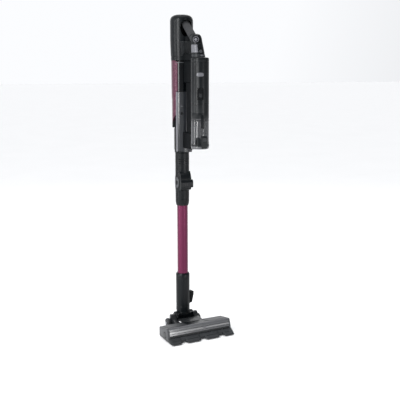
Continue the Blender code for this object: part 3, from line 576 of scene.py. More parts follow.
def wheels():
    for name in ("left_wheel", "right_wheel"):
        middle = centre_of(name)
        side = math.copysign(1.0, middle.x)
        radius = high(name, "Z") - middle.z
        rings = [(0.0003, 0.0118), (0.0003, 0.0135), (0.0008, 0.0152), (0.0022, radius - 0.0006),
            (0.004, radius), (0.0052, radius), (0.0056, radius - 0.0007), (0.0074, radius - 0.0007),
            (0.0078, radius), (0.009, radius), (0.0108, radius - 0.0006), (0.0122, 0.0152),
            (0.0127, 0.0135), (0.0127, 0.0118)]
        start = middle - Vector((side * 0.0065, 0, 0))
        tyre = spindle(start, middle + Vector((side * 0.0065, 0, 0)), rings)
        stand_in(name, tyre, "rubber")
        spokes = [spindle(middle + Vector((side * 0.005, 0, 0)), middle + Vector((side * 0.008, 0, 0)),
            [(0.0, 0.0118), (0.0012, 0.0118), (0.0014, 0.01), (0.0008, 0.0092), (0.0008, 0.005),
            (0.0016, 0.0046), (0.0018, 0.0034)])]
        for i in range(5):
            a = 2 * math.pi * i / 5
            out = Vector((0.0, math.cos(a), math.sin(a)))
            hub = middle + Vector((side * 0.006, 0, 0))
            spokes.append(bar(hub + out * 0.004, hub + out * 0.0104, 0.001, 0.0013, segments=12))
        add(name + "_hub", name, merged(*spokes), "grey_plastic")


# ---- neck joint and lower sleeve ----
def neck():
    z = centre_of("left_pivot_pin").z
    forward = STICK_Y - centre_of("left_pivot_pin").y
    half = high("neck_yoke", "X")
    drum = spindle(at(-half, forward, z), at(half, forward, z), [(0.0, 0.015), (0.0008, 0.0178),
        (0.0024, 0.0193), (0.01, 0.0195), (0.0105, 0.0188), (0.0125, 0.0188), (0.013, 0.0195),
        (2 * half - 0.013, 0.0195), (2 * half - 0.0125, 0.0188), (2 * half - 0.0105, 0.0188),
        (2 * half - 0.01, 0.0195), (2 * half - 0.0024, 0.0193), (2 * half - 0.0008, 0.0178),
        (2 * half, 0.015)])
    collar = turned([(0.017, z), (0.0236, z), (0.0245, 0.04), (0.0245, 0.054), (0.0238, 0.0546),
        (0.0238, 0.056), (0.0245, 0.0566), (0.0245, 0.0596), (0.017, 0.0596)])
    spigot = turned([(0.0155, 0.059), (0.0196, 0.059), (0.0196, 0.0842), (0.0188, 0.085), (0.0155, 0.085)])
    stand_in("neck_yoke", merged(drum, collar, spigot), "black_plastic", 0.0003)
    skirt = rounded([(-0.031, 0.056), (-0.033, 0.045), (-0.018, 0.027), (0.0, 0.0215), (0.018, 0.027),
        (0.033, 0.045), (0.031, 0.056), (0.0, 0.05)], 0.005)
    add("neck_skirt", "neck_yoke", front_prism(skirt, 0.0225, 0.0268), "gloss_black", 0.001)


def lower_sleeve():
    bottom, top = low("lower_sleeve", "Z"), high("lower_sleeve", "Z")
    bore, r = TUBE_RADIUS + 0.0004, SLEEVE_RADIUS
    profile = [(bore, bottom), (r - 0.001, bottom), (r, bottom + 0.001), (r, bottom + 0.016),
        (r - 0.0006, bottom + 0.0166), (r - 0.0006, bottom + 0.0176), (r, bottom + 0.0182), (r, top - 0.02),
        (r - 0.0006, top - 0.0196), (r - 0.0006, top - 0.0186), (r, top - 0.0182), (r, top - 0.0056),
        (r - 0.0008, top - 0.0042), (0.0226, top - 0.0004), (0.0215, top), (bore, top)]
    sleeve = turned(profile)
    ears = [block(0.0042, (side * 0.0106 - 0.0013, side * 0.0106 + 0.0013), (0.087, 0.097), centre_x=0.0285)
        for side in (-1, 1)]
    stand_in("lower_sleeve", merged(sleeve, *ears), "black_plastic", 0.0003)
    for name, angle in (("front", 79.0), ("rear", 101.0)):
        rail = sector([(0.084, r - 0.001, r + 0.0012), (0.086, r - 0.001, r + 0.0026),
            (0.129, r - 0.001, r + 0.003), (0.133, r - 0.001, r + 0.001)],
            angle - 17 if angle < 90 else angle + 14, angle - 14 if angle < 90 else angle + 17, 3)
        add(name + "_lever_rail", "lower_sleeve", rail, "black_plastic", 0.0004)
    for i, angle in enumerate((-60, -20)):
        add(f"sleeve_seam_{i + 1}", "lower_sleeve", patch(r, angle, (bottom + top) / 2, 0.0004, 0.047,
            0.0002, points=16), "gloss_black")


def lower_lever():
    wedge = rounded([(0.0263, 0.089), (0.028, 0.084), (0.033, 0.084), (0.0355, 0.09), (0.0415, 0.119),
        (0.0412, 0.127), (0.036, 0.13), (0.0312, 0.128)], 0.0022)
    stand_in("lower_release_lever", front_prism(wedge, -0.0088, 0.0088), "black_plastic", 0.0009)

    def ends(i):
        z = 0.101 + 0.0036 * i
        x = 0.0355 + (z - 0.09) * 0.006 / 0.029
        return at(x - 0.0002, -0.0068, z), at(x - 0.0002, 0.0068, z)

    ribs("lever_rib", "lower_release_lever", 6, ends, 0.0008, "rubber")


# ---- wand ----
def wand():
    bottom, top = low("wand_tube", "Z"), high("wand_tube", "Z")
    r = TUBE_RADIUS
    tube = turned([(r - 0.0012, bottom), (r - 0.0003, bottom), (r, bottom + 0.0004), (r, top - 0.0004),
        (r - 0.0003, top), (r - 0.0012, top)])
    stand_in("wand_tube", tube, "magenta_tube")


def adapter():
    bottom, top = low("upper_adapter", "Z"), high("upper_adapter", "Z")
    r, bore, ledge = ADAPTER_RADIUS, TUBE_RADIUS + 0.0004, high("wand_tube", "Z") + 0.0004
    profile = [(r - 0.0012, top), (r, top - 0.001), (r, 0.572), (r + 0.0012, 0.562), (r + 0.0016, 0.542),
        (r + 0.001, 0.526), (r, 0.516), (r, 0.486), (r - 0.0006, 0.4854), (r - 0.0006, 0.4842), (r, 0.4836),
        (r, bottom + 0.012), (0.0225, bottom + 0.0006), (0.0218, bottom), (bore, bottom), (bore, ledge),
        (0.016, ledge), (0.016, ledge + 0.003), (0.021, ledge + 0.003), (0.021, top)]
    body = turned(profile)
    saddle = side_prism(rounded([(0.02, 0.516), (0.029, 0.52), (0.0332, 0.527), (0.0332, 0.56),
        (0.028, 0.576), (0.02, 0.588)], 0.004), -0.0205, 0.0205)
    stand_in("upper_adapter", merged(body, cut(saddle, bar(at(0, 0, 0.5), at(0, 0, 0.6), 0.0225))),
        "black_plastic", 0.001)
    for i in range(3):
        add(f"adapter_slanted_band_{i + 1}", "upper_adapter", slanted_band(r, 0.618 + 0.0075 * i, 0.006,
            0.0028, 0.0004, lean=150), "gloss_black")
    for name, angle in (("left", -72), ("right", 72)):
        add(name + "_oval_plate", "upper_adapter", patch(r + 0.0012, angle, 0.545, 0.0085, 0.0195, 0.0012,
            power=2.4), "grey_plastic")
        add(name + "_oval_plate_dimple", "upper_adapter", patch(r + 0.002, angle, 0.545, 0.004, 0.0085,
            0.0008, power=2.2), "gloss_black")


def pedal():
    outline = rounded([(0.0334, 0.529), (0.0415, 0.529), (0.043, 0.532), (0.043, 0.548), (0.0395, 0.556),
        (0.0334, 0.558)], 0.003)
    stand_in("handheld_release_pedal", side_prism(outline, -0.024, 0.024), "black_plastic", 0.0022)
    ribs("pedal_rib", "handheld_release_pedal", 5, lambda i: [at(0.0066 * (i - 2), 0.0426, z)
        for z in (0.5345, 0.547)], 0.0009, "rubber")


# ---- handheld: column ----
def column():
    bottom, top = low("column_chassis", "Z"), high("column_chassis", "Z")
    r, foot = SPINE_RADIUS, PANEL_BOTTOM + 0.0005
    spine = turned([(r, top), (r, foot + 0.0012), (r - 0.0012, foot), (0.0206, foot),
        (0.0206, bottom + 0.001), (0.0198, bottom), (0.0175, bottom), (0.0175, 0.7), (r - 0.0024, 0.7),
        (r - 0.0024, top)])
    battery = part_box("battery_pack")
    spine = cut(spine, block(0.04, (-0.04, -0.001), (battery[0].z - 0.0004, battery[1].z + 0.001)))
    stand_in("column_chassis", spine, "black_plastic", 0.0003)
    for i in range(4):
        add(f"spine_rib_{i + 1}", "column_chassis", patch(r, 180, 0.676 + 0.012 * i, 0.013, 0.0022, 0.001,
            points=32), "black_plastic")
    for side in (-1, 1):
        add(("left", "right")[side > 0] + "_spine_rail", "column_chassis",
            patch(r, side * 122, 0.7, 0.0015, 0.038, 0.0012, points=24), "gloss_black")


def front_panel():
    """The glossy front of the column: dark above, paler smoke below, with a slanted foot and pale edge strips
    that are painted highlights.
    """
    outer, wall, seam = COLUMN_RADIUS, 0.0025, 0.868

    def strip(start, end, rise, drop, look, name, z_low, z_high):
        steps = 36
        rows = []
        line = [start + (end - start) * i / steps for i in range(steps + 1)]
        for share in (0.0, 0.004, 0.5, 0.996, 1.0):
            ring = []
            inset = 0.0006 if share in (0.0, 1.0) else 0.0
            for radius, order in ((outer + rise - inset, line), (outer - wall, line[::-1])):
                for angle in order:
                    a = math.radians(angle)
                    base = z_low + drop * (angle - start) / (end - start)
                    z = base + (z_high - base) * share
                    ring.append(at(radius * math.sin(a), radius * math.cos(a), z))
            rows.append(ring)
        return add(name, "front_panel", loft(rows), look)

    inner_half = PANEL_HALF_ANGLE - 11.0
    strip(-inner_half, inner_half, 0.0, 0.0, "gloss_black", "front_panel_upper", seam + 0.0004,
        PANEL_TOP - 0.0008)
    lower = strip(-inner_half, inner_half, 0.0, -0.006, "smoked_dark", "front_panel.look",
        PANEL_BOTTOM + 0.008, seam - 0.0004)
    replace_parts(lower, "front_panel")
    # the strips down both sides of the panel are painted highlights: pale lilac-grey below the seam and
    # magenta above
    for name, side in (("left", -1), ("right", 1)):
        start, end = sorted((side * (inner_half + 0.5), side * PANEL_HALF_ANGLE))
        strip(start, end, 0.0003, 0.0, "lilac_trim", name + "_panel_edge_highlight", PANEL_BOTTOM + 0.006,
            seam - 0.0004)
        strip(start, end, 0.0003, 0.0, "magenta_plastic", name + "_panel_edge_upper_highlight", seam + 0.0004,
            PANEL_TOP)
        turn = side * (PANEL_HALF_ANGLE - 1.8) - 1.2
        add(name + "_panel_return", "front_panel", sector([(PANEL_BOTTOM + 0.004, SPINE_RADIUS - 0.001,
            outer - 0.0005), (PANEL_TOP, SPINE_RADIUS - 0.001, outer - 0.0005)], turn, turn + 2.4, 2),
            "gloss_black")
    add("panel_light_bar", "front_panel", patch(outer, -26, 0.818, 0.0032, 0.0009, 0.0004, points=24),
        "lilac_trim")
    add("panel_oval_key", "front_panel", patch(outer, -26, 0.793, 0.0034, 0.0052, 0.0005, power=2.2),
        "gloss_black")
    add("column_top_band", "front_panel", sector([(PANEL_TOP - 0.005, outer - 0.001, outer + 0.0008),
        (PANEL_TOP - 0.003, outer - 0.001, outer + 0.0008)], -PANEL_HALF_ANGLE, PANEL_HALF_ANGLE, 36),
        "grey_plastic")


def beside_tail(z, gap=0.0):
    """Everything between a height and the slanted line that ends the magenta at the column's foot."""
    (rear, rear_z), (ahead, ahead_z) = TAIL_REAR, TAIL_FRONT
    return side_prism([(rear, rear_z - gap), (ahead, ahead_z - gap), (ahead, z), (rear, z)], -0.05, 0.05)


def rear_cover():
    bottom, top = low("rear_cover", "Z"), high("rear_cover", "Z")
    waist = 0.836
    rows = []
    for i in range(33):
        z = bottom + (top - bottom) * i / 32
        grown = 0.0012 * max(0.0, z - waist) / (top - waist)
        pinch = 0.001 * math.exp(-((z - waist) / 0.01) ** 2)
        rows.append((z, COLUMN_RADIUS - 0.0026 + grown, COLUMN_RADIUS + grown - pinch))
    battery_top = high("battery_pack", "Z") + 0.001
    cover = cut(sector(rows, PANEL_HALF_ANGLE + 1, 359 - PANEL_HALF_ANGLE, 72),
        block(0.05, (-0.05, -0.001), (0.7, battery_top)), beside_tail(0.7))
    stand_in("rear_cover", cover, "magenta_plastic", 0.0005)
    for i in range(5):
        add(f"rear_vent_{i + 1}", "rear_cover", patch(COLUMN_RADIUS + 0.001, 180, 0.9 + 0.01 * i, 0.015,
            0.0016, 0.0003, points=32), "gloss_black")


def battery():
    bottom, top = low("battery_pack", "Z"), high("battery_pack", "Z")
    radius = high("battery_pack", "X")

    def slab():
        outline = [(side, ahead) for ahead, side in arc((0, 0), radius, 93, 267, 60)]
        rows = []
        for z, scale in ((bottom, 0.975), (bottom + 0.001, 1.0), (top - 0.001, 1.0), (top, 0.975)):
            rows.append([at(side * scale, (ahead + 0.0018) * scale - 0.0018, z) for side, ahead in outline])
        return loft(rows)

    pocket = block(0.0085, (-0.04, -0.031), (0.8045, 0.8225))
    stand_in("battery_pack", cut(slab(), pocket, beside_tail(0.7)), "magenta_plastic")
    add("battery_foot", "battery_pack", cut(slab(), beside_tail(0.95, 0.0004)), "black_plastic")
    for i in range(4):
        add(f"battery_rib_{i + 1}", "battery_pack", patch(radius, 180, 0.774 + 0.0055 * i, 0.012, 0.0011,
            0.0006, points=32), "black_plastic")
    box_low, box_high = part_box("battery_latch")
    latch = front_prism(rounded([(box_low.x, box_low.z), (box_high.x, box_low.z), (box_high.x, box_high.z),
        (box_low.x, box_high.z)], 0.0025), STICK_Y - box_high.y, STICK_Y - box_low.y)
    stand_in("battery_latch", latch, "black_plastic", 0.0008)
    ribs("battery_latch_rib", "battery_latch", 3, lambda i: [(x, box_high.y, box_low.z + 0.0038 + 0.003 * i)
        for x in (-0.0052, 0.0052)], 0.0006, "rubber", 10)


# ---- handheld: head, grip and neck ----
def head():
    wall, r, top = 0.0026, HEAD_RADIUS, HEAD_TOP
    bottom = low("head_shell", "Z")
    foot = r - 0.0024
    crown = shoulder(r, top, 0.02, 12)
    outer = [(0.0, top)] + crown + [(r, 1.045), (r - 0.0007, 1.02), (foot + 0.0006, 0.989),
        (foot - 0.0004, 0.9884), (foot - 0.0004, 0.9866), (foot + 0.0004, 0.986), (foot, bottom)]
    inner = [(foot - wall, bottom), (r - wall, 1.045)]
    inner += [(x - wall * x / r, z - wall) for x, z in reversed(crown)] + [(0.0, top - wall)]
    shell = turned(outer + inner, closed=False)
    mouth = spindle(GRIP_START, ELBOW, [(-0.02, 0.0175), (0.024, 0.0175), (0.03, 0.019), (0.06, 0.033)])
    grille = sector([(0.99, 0.03, 0.05), (1.039, 0.03, 0.05)], -30, 30, 24)
    stand_in("head_shell", cut(shell, mouth, grille), "black_plastic", 0.0004)
    bowl = spindle(GRIP_START, ELBOW, [(0.012, 0.0176), (0.024, 0.0174), (0.03, 0.0188), (0.033, 0.0202)])
    hollow = spindle(GRIP_START, ELBOW, [(0.0, 0.016), (0.024, 0.016), (0.03, 0.0176), (0.042, 0.023)])
    add("grip_mouth", "head_shell", cut(bowl, hollow), "gloss_black")


def exhaust_grille():
    bottom, top = low("exhaust_grille", "Z"), high("exhaust_grille", "Z")
    half = 29.4

    def wall_at(z):
        return 0.0374 + 0.001 * (z - bottom) / (top - bottom)

    parts = [sector([(z, wall_at(z) - 0.0006, wall_at(z) + 0.0012) for z in (edge, edge + 0.0022)], -half,
        half, 32) for edge in (bottom, top - 0.0022)]
    rows = 11
    for i in range(rows):
        z = bottom + 0.004 + (top - bottom - 0.008) * i / (rows - 1)
        parts.append(sector([(z - 0.0012, wall_at(z) - 0.0004, wall_at(z) + 0.0002),
            (z, wall_at(z) - 0.0006, wall_at(z) + 0.0011), (z + 0.0009, wall_at(z) - 0.0006,
            wall_at(z) + 0.0011)], -half, half, 32))
    for i in range(9):
        angle = -half + 1.2 + (2 * half - 2.4) * i / 8
        parts.append(sector([(z, wall_at(z) - 0.0012, wall_at(z) + 0.0004) for z in (bottom, top)],
            angle - 0.7, angle + 0.7, 2))
    backing = sector([(z, wall_at(z) - 0.0022, wall_at(z) - 0.0014) for z in (bottom, top)], -half, half,
        24)
    stand_in("exhaust_grille", merged(*parts), "dark_grey_plastic")
    add("grille_mesh_backing", "exhaust_grille", backing, "rubber")
    add("head_filter_seam", "head_shell", hoop(0.0386, 0.0403, 1.044, 1.0428), "gloss_black")


def grip():
    start, end = GRIP_START, ELBOW
    run = (end - start).normalized()
    length = (end - start).length
    turn = run.to_track_quat("Z", "Y")
    radius, flutes = 0.013, 18
    rings = []
    stations = [(0.004, 0.0), (0.024, 0.0), (0.03, 1.0), (length - 0.03, 1.0), (length - 0.025, 0.0),
        (length - 0.008, 0.0)]
    for along, ribbed in stations:
        ring = []
        for i in range(flutes * 10):
            a = 2 * math.pi * i / (flutes * 10)
            depth = 0.0009 * ribbed * (0.5 - 0.5 * math.cos(flutes * a)) ** 2
            size = radius - depth
            ring.append(start + turn @ Vector((size * math.cos(a), size * math.sin(a), along)))
        rings.append(ring)
    stand_in("grip", loft(rings), "rubber")
    for name, along in (("upper", 0.027), ("lower", length - 0.0285)):
        add(name + "_grip_collar", "grip", spindle(start + run * (along - 0.0022), end,
            [(0.0, 0.0125), (0.0004, 0.0134), (0.004, 0.0134), (0.0044, 0.0125)]), "black_plastic")


def neck_section(z, forward, radius):
    points = 72
    return [at(side, forward + ahead, z) for ahead, side in arc((0, 0), radius, 0, 360 - 360 / points,
        points - 1)]


def spline(t, a, b, c, d):
    return 0.5 * (2 * b + (c - a) * t + (2 * a - 5 * b + 4 * c - d) * t * t + (3 * b - a - 3 * c + d)
        * t ** 3)


def between(rows, steps):
    """Smooth rows between the given ones, by a curve through them."""
    made = []
    for i in range(len(rows) - 1):
        before, first = rows[max(0, i - 1)], rows[i]
        second, after = rows[i + 1], rows[min(len(rows) - 1, i + 2)]
        for k in range(steps):
            t = k / steps
            made.append(tuple(spline(t, *values) for values in zip(before, first, second, after)))
    return made + [tuple(rows[-1])]


NECK_ROWS = [(1.0602, 0.1168, 0.006), (1.058, 0.1171, 0.0115), (1.054, 0.1178, 0.015),
    (1.047, 0.1186, 0.0171), (1.035, 0.12, 0.0185), (1.015, 0.125, 0.0203), (1.0000, 0.1295, 0.0214),
    (0.9838, 0.134, 0.0226)]


def neck_at(z):
    """(forward, radius) of the neck at a height."""
    for upper, lower in zip(NECK_ROWS, NECK_ROWS[1:]):
        if upper[0] >= z >= lower[0]:
            share = (upper[0] - z) / (upper[0] - lower[0])
            return tuple(a + (b - a) * share for a, b in zip(upper[1:], lower[1:]))
    return NECK_ROWS[-1][1:]


def neck_panel(name, z_range, angles, rise, look, node="neck_housing"):
    """A raised panel that follows the neck between two heights and two directions."""
    rows = []
    steps, count = 14, 24
    for k in range(steps + 1):
        z = z_range[0] + (z_range[1] - z_range[0]) * k / steps
        forward, radius = neck_at(z)
        inset = 0.0005 if k in (0, steps) else 0.0
        line = arc((0, 0), radius + rise - inset, *angles, count)
        line += arc((0, 0), radius - 0.001, *angles[::-1], count)
        rows.append([at(side, forward + ahead, z) for ahead, side in line])
    return add(name, node, loft(rows), look)


def neck_housing():
    run = (ELBOW - GRIP_START).normalized()
    body = loft([neck_section(*row) for row in between(NECK_ROWS, 5)])
    body = cut(body, bar(GRIP_START, ELBOW - run * 0.007, 0.0134, segments=64))
    stand_in("neck_housing", body, "black_plastic", 0.0003)
    trim = neck_panel("neck_trim.look", (0.999, 1.025), (-112, -24), 0.0005, "lilac_trim", node="neck_trim")
    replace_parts(trim, "neck_trim")
    neck_panel("neck_collar", (0.9845, 0.993), (-180, 179), 0.0004, "dark_grey_plastic")
    neck_panel("neck_gloss_band", (0.996, 1.05), (-14, 74), 0.0006, "gloss_black")
    neck_panel("neck_side_panel", (0.999, 1.047), (112, 160), 0.0005, "grey_plastic")
    forward, radius = neck_at(0.9895)
    add("status_light", "neck_housing", patch(radius + 0.0004, 8, 0.989, 0.0062, 0.0026, 0.0008,
        forward=forward, power=3.0), "lilac_trim")
    low_corner, high_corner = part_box("elbow_cap")
    middle = (low_corner + high_corner) / 2
    out = Vector((math.sin(math.radians(-32)), -math.cos(math.radians(-32)), 0.16)).normalized()
    cap = spindle(middle - out * 0.0011, middle + out * 0.0011, [(0.0, 0.01), (0.0016, 0.01),
        (0.0021, 0.0095), (0.0022, 0.0082), (0.0014, 0.0078), (0.0013, 0.005), (0.0019, 0.0046),
        (0.0021, 0.0036), (0.0021, 0.0004)])
    stand_in("elbow_cap", cap, "lilac_trim")
    add("elbow_cap_groove", "elbow_cap", spindle(middle, middle + out,
        [(0.0001, 0.0079), (0.00045, 0.0079), (0.00045, 0.0049), (0.0001, 0.0049)]), "gloss_black")
    up = Vector((0, -0.03, 0.006)).normalized()
    for name in ("power_button", "mode_button"):
        low_corner, high_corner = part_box(name)
        base = (low_corner + high_corner) / 2
        radius = (high_corner.x - low_corner.x) / 2
        half = 0.002 if name == "power_button" else 0.0025
        button = spindle(base - up * half, base + up * half, [(0.0, radius), (2 * half - 0.0006, radius),
            (2 * half - 0.0001, radius - 0.0007), (2 * half - 0.0005, radius * 0.62),
            (2 * half - 0.0007, 0.0003)])
        stand_in(name, button, "grey_plastic" if name == "mode_button" else "black_plastic")


# ---- handheld: canister ----
def canister():
    top, r, f = CANISTER_TOP, CANISTER_RADIUS, CANISTER_FORWARD
    foot = 0.782
    crown = shoulder(r, top, 0.005, 6)
    profile = [(0.008, top)] + crown + [(r, 0.97), (r - 0.0005, 0.9696), (r - 0.0005, 0.9684), (r, 0.968),
        (r, 0.802), (r - 0.0004, 0.8016), (r - 0.0004, 0.8004), (r, 0.8), (r, foot + 0.001),
        (r - 0.0006, foot), (r - 0.0025, foot), (r - 0.0025, top - 0.006), (0.008, top - 0.003)]
    sleeve = turned(profile, f)
    middle = centre_of("cup_release_button")
    direction = math.atan2(middle.x, STICK_Y - f - middle.y)
    turn = Matrix.Translation(at(0, f, middle.z)) @ Matrix.Rotation(direction, 4, "Z")
    opening = front_prism(rectangle(0.0092, 0.0172, 0.003), STICK_Y + 0.025, STICK_Y + 0.034)
    opening.transform(turn)
    stand_in("canister_sleeve", cut(sleeve, opening), "black_plastic", 0.0003)
    button = front_prism(rectangle(0.0087, 0.0167, 0.0028), STICK_Y + 0.0294, STICK_Y + 0.0312)
    button.transform(turn)
    stand_in("cup_release_button", button, "gloss_black", 0.0006)
    facing = math.degrees(direction)
    frame_outer = patch(r, facing, middle.z, 0.0122, 0.02, 0.0007, forward=f, power=6.0)
    hole = front_prism(rectangle(0.0095, 0.0175, 0.003), STICK_Y + 0.02, STICK_Y + 0.04)
    hole.transform(turn)
    add("button_frame", "canister_sleeve", cut(frame_outer, hole), "gloss_black", 0.0002)
    for i in range(4):
        z = -0.009 + 0.003 * i
        rib = bar((-0.0052, -0.0312, z), (0.0052, -0.0312, z), 0.0005, segments=10)
        rib.transform(turn)
        add(f"release_button_rib_{i + 1}", "cup_release_button", rib, "grey_plastic")
    add("plain_badge", "canister_sleeve", patch(r, facing, 0.9268, 0.0125, 0.0062, 0.0005, forward=f,
        power=3.2), "lilac_trim")
    tongue = sector([(0.75, 0.0308, 0.0318), (0.7515, 0.0308, 0.0326), (0.756, 0.0308, 0.0328),
        (0.784, 0.0308, 0.0328), (0.785, 0.0295, 0.0326), (0.796, 0.0295, 0.031)], -20, -3, 8, f)
    add("cup_catch_tongue", "canister_sleeve", tongue, "black_plastic", 0.0006)
    add("canister_shoulder_ring", "canister_sleeve", hoop(r - 0.001, r + 0.0003, 0.832, 0.8305, f),
        "gloss_black")


def dust_cup():
    f, r = CANISTER_FORWARD, CANISTER_RADIUS
    top, bottom = high("dust_cup", "Z"), low("dust_cup", "Z")
    foot, wall = high("dust_cup", "X"), 0.0022
    cup = turned([(r - 0.0006, top), (r, top - 0.0008), (r, 0.708), (foot, 0.7), (foot, bottom),
        (foot - wall, bottom), (foot - wall, 0.7), (r - wall, 0.708), (r - wall, top)], f)
    port_z = 0.712
    cup = cut(cup, bar(at(0, 0.1, port_z), at(0, 0.13, port_z), 0.0105))
    stand_in("dust_cup", cup, "smoked_clear")
    add("cup_rim_band", "dust_cup", hoop(r - 0.0004, r + 0.0004, 0.7742, 0.777, f), "black_plastic")
    add("cup_foot_band", "dust_cup", hoop(foot - 0.0006, foot + 0.0002, bottom, bottom + 0.006, f),
        "black_plastic")
    ears = []
    for side in (-1, 1):
        ears.append(block(0.0012, (0.109, 0.117), (0.6905, 0.6965), centre_x=side * 0.009))
        ears.append(block(0.0012, (0.1745, 0.1795), (0.697, 0.705), centre_x=side * 0.0115))
    add("cup_ears", "dust_cup", merged(*ears), "black_plastic", 0.0004)
    add("cup_clasp_plate", "dust_cup", patch(foot, CLASP_SIDE - 9, 0.704, 0.0095, 0.015, 0.001, forward=f,
        power=5.0), "black_plastic", 0.0003)
    add("cup_clasp_slot", "dust_cup", patch(foot + 0.0009, CLASP_SIDE - 18, 0.704, 0.0016, 0.011, 0.0004,
        forward=f, points=24), "gloss_black")
    add("cup_fill_window", "dust_cup", patch(r - 0.004, CLASP_SIDE - 3, 0.736, 0.0068, 0.007, 0.001,
        forward=f, power=6.0), "lilac_trim")
    inner, count, rows = 0.0166, 54, 22
    z_low, z_high = low("cyclone_shroud", "Z"), high("cyclone_shroud", "Z")
    lattice = turned([(inner, z_low + (z_high - z_low) * i / rows) for i in range(rows + 1)], f, count,
        False)
    shroud = stand_in("cyclone_shroud", lattice, "grey_plastic")
    wire = shroud.modifiers.new("perforation", "WIREFRAME")
    wire.thickness, wire.use_even_offset = 0.0007, False
    rings = [hoop(0.0156, 0.0176, z, z + 0.0022, f) for z in (z_low, (z_low + z_high) / 2, z_high - 0.0026)]
    add("shroud_rings", "dust_cup", merged(*rings), "grey_plastic", 0.0003)
    fins = [sector([(0.715, 0.0035, 0.0165), (0.7178, 0.0035, 0.0165)], 30 * i, 30 * i + 9, 2, f)
        for i in range(12)]
    add("cyclone_vanes", "dust_cup", merged(*fins), "black_plastic")


def cup_lid():
    f = CANISTER_FORWARD
    top, bottom = low("dust_cup", "Z") - 0.0004, low("cup_lid", "Z")
    lid = turned([(0.0, top), (0.0304, top), (0.0308, top - 0.0006), (0.0312, top - 0.0022),
        (0.0312, 0.687), (0.0306, 0.684), (0.0294, 0.6806), (0.028, 0.6796), (0.02, bottom),
        (0.019, bottom + 0.0008), (0.0, bottom + 0.0008)], f, closed=False)
    hinge = block(0.007, (0.109, 0.118), (0.685, 0.6895))
    knuckle = spindle(at(-0.007, 0.1108, 0.6935), at(0.007, 0.1108, 0.6935), [(0.0, 0.002), (0.014, 0.002)],
        segments=24)
    arm = block(0.007, (0.1092, 0.1124), (0.686, 0.693))
    stand_in("cup_lid", merged(lid, hinge, knuckle, arm), "smoked_gloss", 0.0003)
    hook = rounded([(0.1768, 0.682), (0.18, 0.683), (0.18, 0.718), (0.1792, 0.724), (0.1776, 0.724),
        (0.1768, 0.705)], 0.0008)
    stand_in("lid_latch", side_prism(hook, -0.0098, 0.0098), "black_plastic", 0.0007)
    ribs("lid_latch_rib", "lid_latch", 4, lambda i: [at(x, 0.1797, 0.708 + 0.003 * i)
        for x in (-0.007, 0.007)], 0.0006, "grey_plastic", 10)


# ---- frame nodes that stay ----
KEPT = {
    "black_plastic": ("sole_plate", "brush_chamber_wall", "rear_carriage", "pivot_shroud"),
    "matt_black": ("bridge_housing", "docking_duct", "canister_web"),
    "rubber": ("suction_duct", "drive_belt", "left_sole_roller", "right_sole_roller", "cup_seal"),
    "motor_case": ("brush_motor", "fan_motor"),
    "steel": ("motor_pulley", "left_wheel_axle", "right_wheel_axle", "lower_lever_pin", "lid_hinge_pin",
              "lid_latch_pin"),
    "grey_plastic": ("left_pivot_pin", "right_pivot_pin", "impeller", "cyclone_cone"),
    "circuit_board": ("control_board",),
    "filter_cloth": ("exhaust_filter", "pre_motor_filter"),
}


def finish_kept_nodes():
    for node, look in [(node, look) for look, nodes in KEPT.items() for node in nodes]:
        piece = frame["nodes"][node]
        piece.data.materials.clear()
        piece.data.materials.append(look_of(look))
        soften(piece, 0.0004)


# ---- studio ----
CAMERA_DISTANCE, CAMERA_HEIGHT = 2.4, 0.93
CAMERA_TURN, CAMERA_DIP, CAMERA_SIDE = 26.2, 10.68, 0.0641
LENS = 60.3
BRIGHT_SIDE = (-0.6, 0.8, 0.25)    # direction in which the studio's walls are palest


def camera():
    data = bpy.data.cameras.new("camera")
    data.lens, data.sensor_width = LENS, 36.0
    seen = bpy.data.objects.new("camera", data)
    a, dip = math.radians(CAMERA_TURN), math.radians(CAMERA_DIP)
    ahead = Vector((math.sin(a), math.cos(a), 0.0))
    right = Vector((math.cos(a), -math.sin(a), 0.0))
    seen.location = at(0, 0, CAMERA_HEIGHT) - ahead * CAMERA_DISTANCE + right * CAMERA_SIDE
    look = ahead * math.cos(dip) - Vector((0, 0, math.sin(dip)))
    seen.rotation_mode = "QUATERNION"
    seen.rotation_quaternion = look.to_track_quat("-Z", "Y")
    bpy.context.scene.collection.objects.link(seen)
    bpy.context.scene.camera = seen


def softbox(name, place, aim, size, power):
    data = bpy.data.lights.new(name, "AREA")
    data.shape, data.size, data.size_y = "RECTANGLE", *size
    data.energy = power
    lamp = bpy.data.objects.new(name, data)
    lamp.location = place
    lamp.visible_camera = False
    lamp.rotation_mode = "QUATERNION"
    lamp.rotation_quaternion = (Vector(aim) - Vector(place)).to_track_quat("-Z", "Y")
    bpy.context.scene.collection.objects.link(lamp)


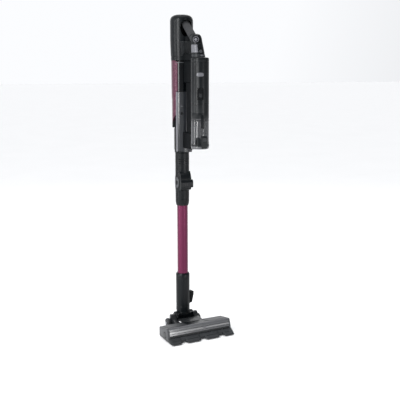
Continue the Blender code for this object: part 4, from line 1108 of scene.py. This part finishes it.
def studio():
    bm = bmesh.new()
    bmesh.ops.create_grid(bm, x_segments=4, y_segments=4, size=60.0)
    floor = bpy.data.objects.new("floor", mesh_from(bm))
    floor.data.materials.append(finish("pale_floor", (0.9, 0.9, 0.9), 0.6, mottle=0.01, mottle_scale=2.0))
    bpy.context.scene.collection.objects.link(floor)
    world = bpy.data.worlds.new("studio")
    world.use_nodes = True
    tree = world.node_tree
    direction = tree.nodes.new("ShaderNodeTexCoord")
    across = tree.nodes.new("ShaderNodeVectorMath")
    across.operation = "DOT_PRODUCT"
    across.inputs[1].default_value = BRIGHT_SIDE
    tree.links.new(direction.outputs["Generated"], across.inputs[0])
    side = remap(tree, across.outputs["Value"], -1.0, 1.0, 0.0, 1.0)
    sky = ramp(tree, side, 0.15, (0.36, 0.37, 0.39, 1.0), 0.68, (0.97, 0.98, 1.0, 1.0))
    tree.links.new(sky, tree.nodes["Background"].inputs["Color"])
    tree.nodes["Background"].inputs["Strength"].default_value = 1.0
    bpy.context.scene.world = world
    middle = (0.0, 0.0, 0.6)
    softbox("key", (-2.1, -1.1, 1.5), middle, (0.5, 2.0), 55.0)
    softbox("low_front", (0.75, -2.4, 0.45), (0.0, 0.0, 0.25), (0.22, 0.85), 7.0)
    softbox("low_strip", (0.9, -2.2, 0.48), (0.0, -0.03, 0.03), (2.4, 0.14), 6.0)
    softbox("back", (1.0, 2.2, 1.9), middle, (1.6, 1.2), 20.0)
    softbox("strip", (-2.2, 0.3, 0.8), middle, (0.25, 1.8), 16.0)
    overhead = bpy.data.lights.new("overhead", "SUN")
    overhead.energy, overhead.angle = 0.8, math.radians(50)
    bpy.context.scene.collection.objects.link(bpy.data.objects.new("overhead", overhead))
    bpy.context.scene.view_settings.view_transform = "Standard"


def build():
    nozzle_shell()
    end_caps()
    bumper()
    brush()
    wheels()
    neck()
    lower_sleeve()
    lower_lever()
    wand()
    adapter()
    pedal()
    column()
    front_panel()
    rear_cover()
    battery()
    head()
    exhaust_grille()
    grip()
    neck_housing()
    canister()
    dust_cup()
    cup_lid()
    finish_kept_nodes()


build()
camera()
studio()
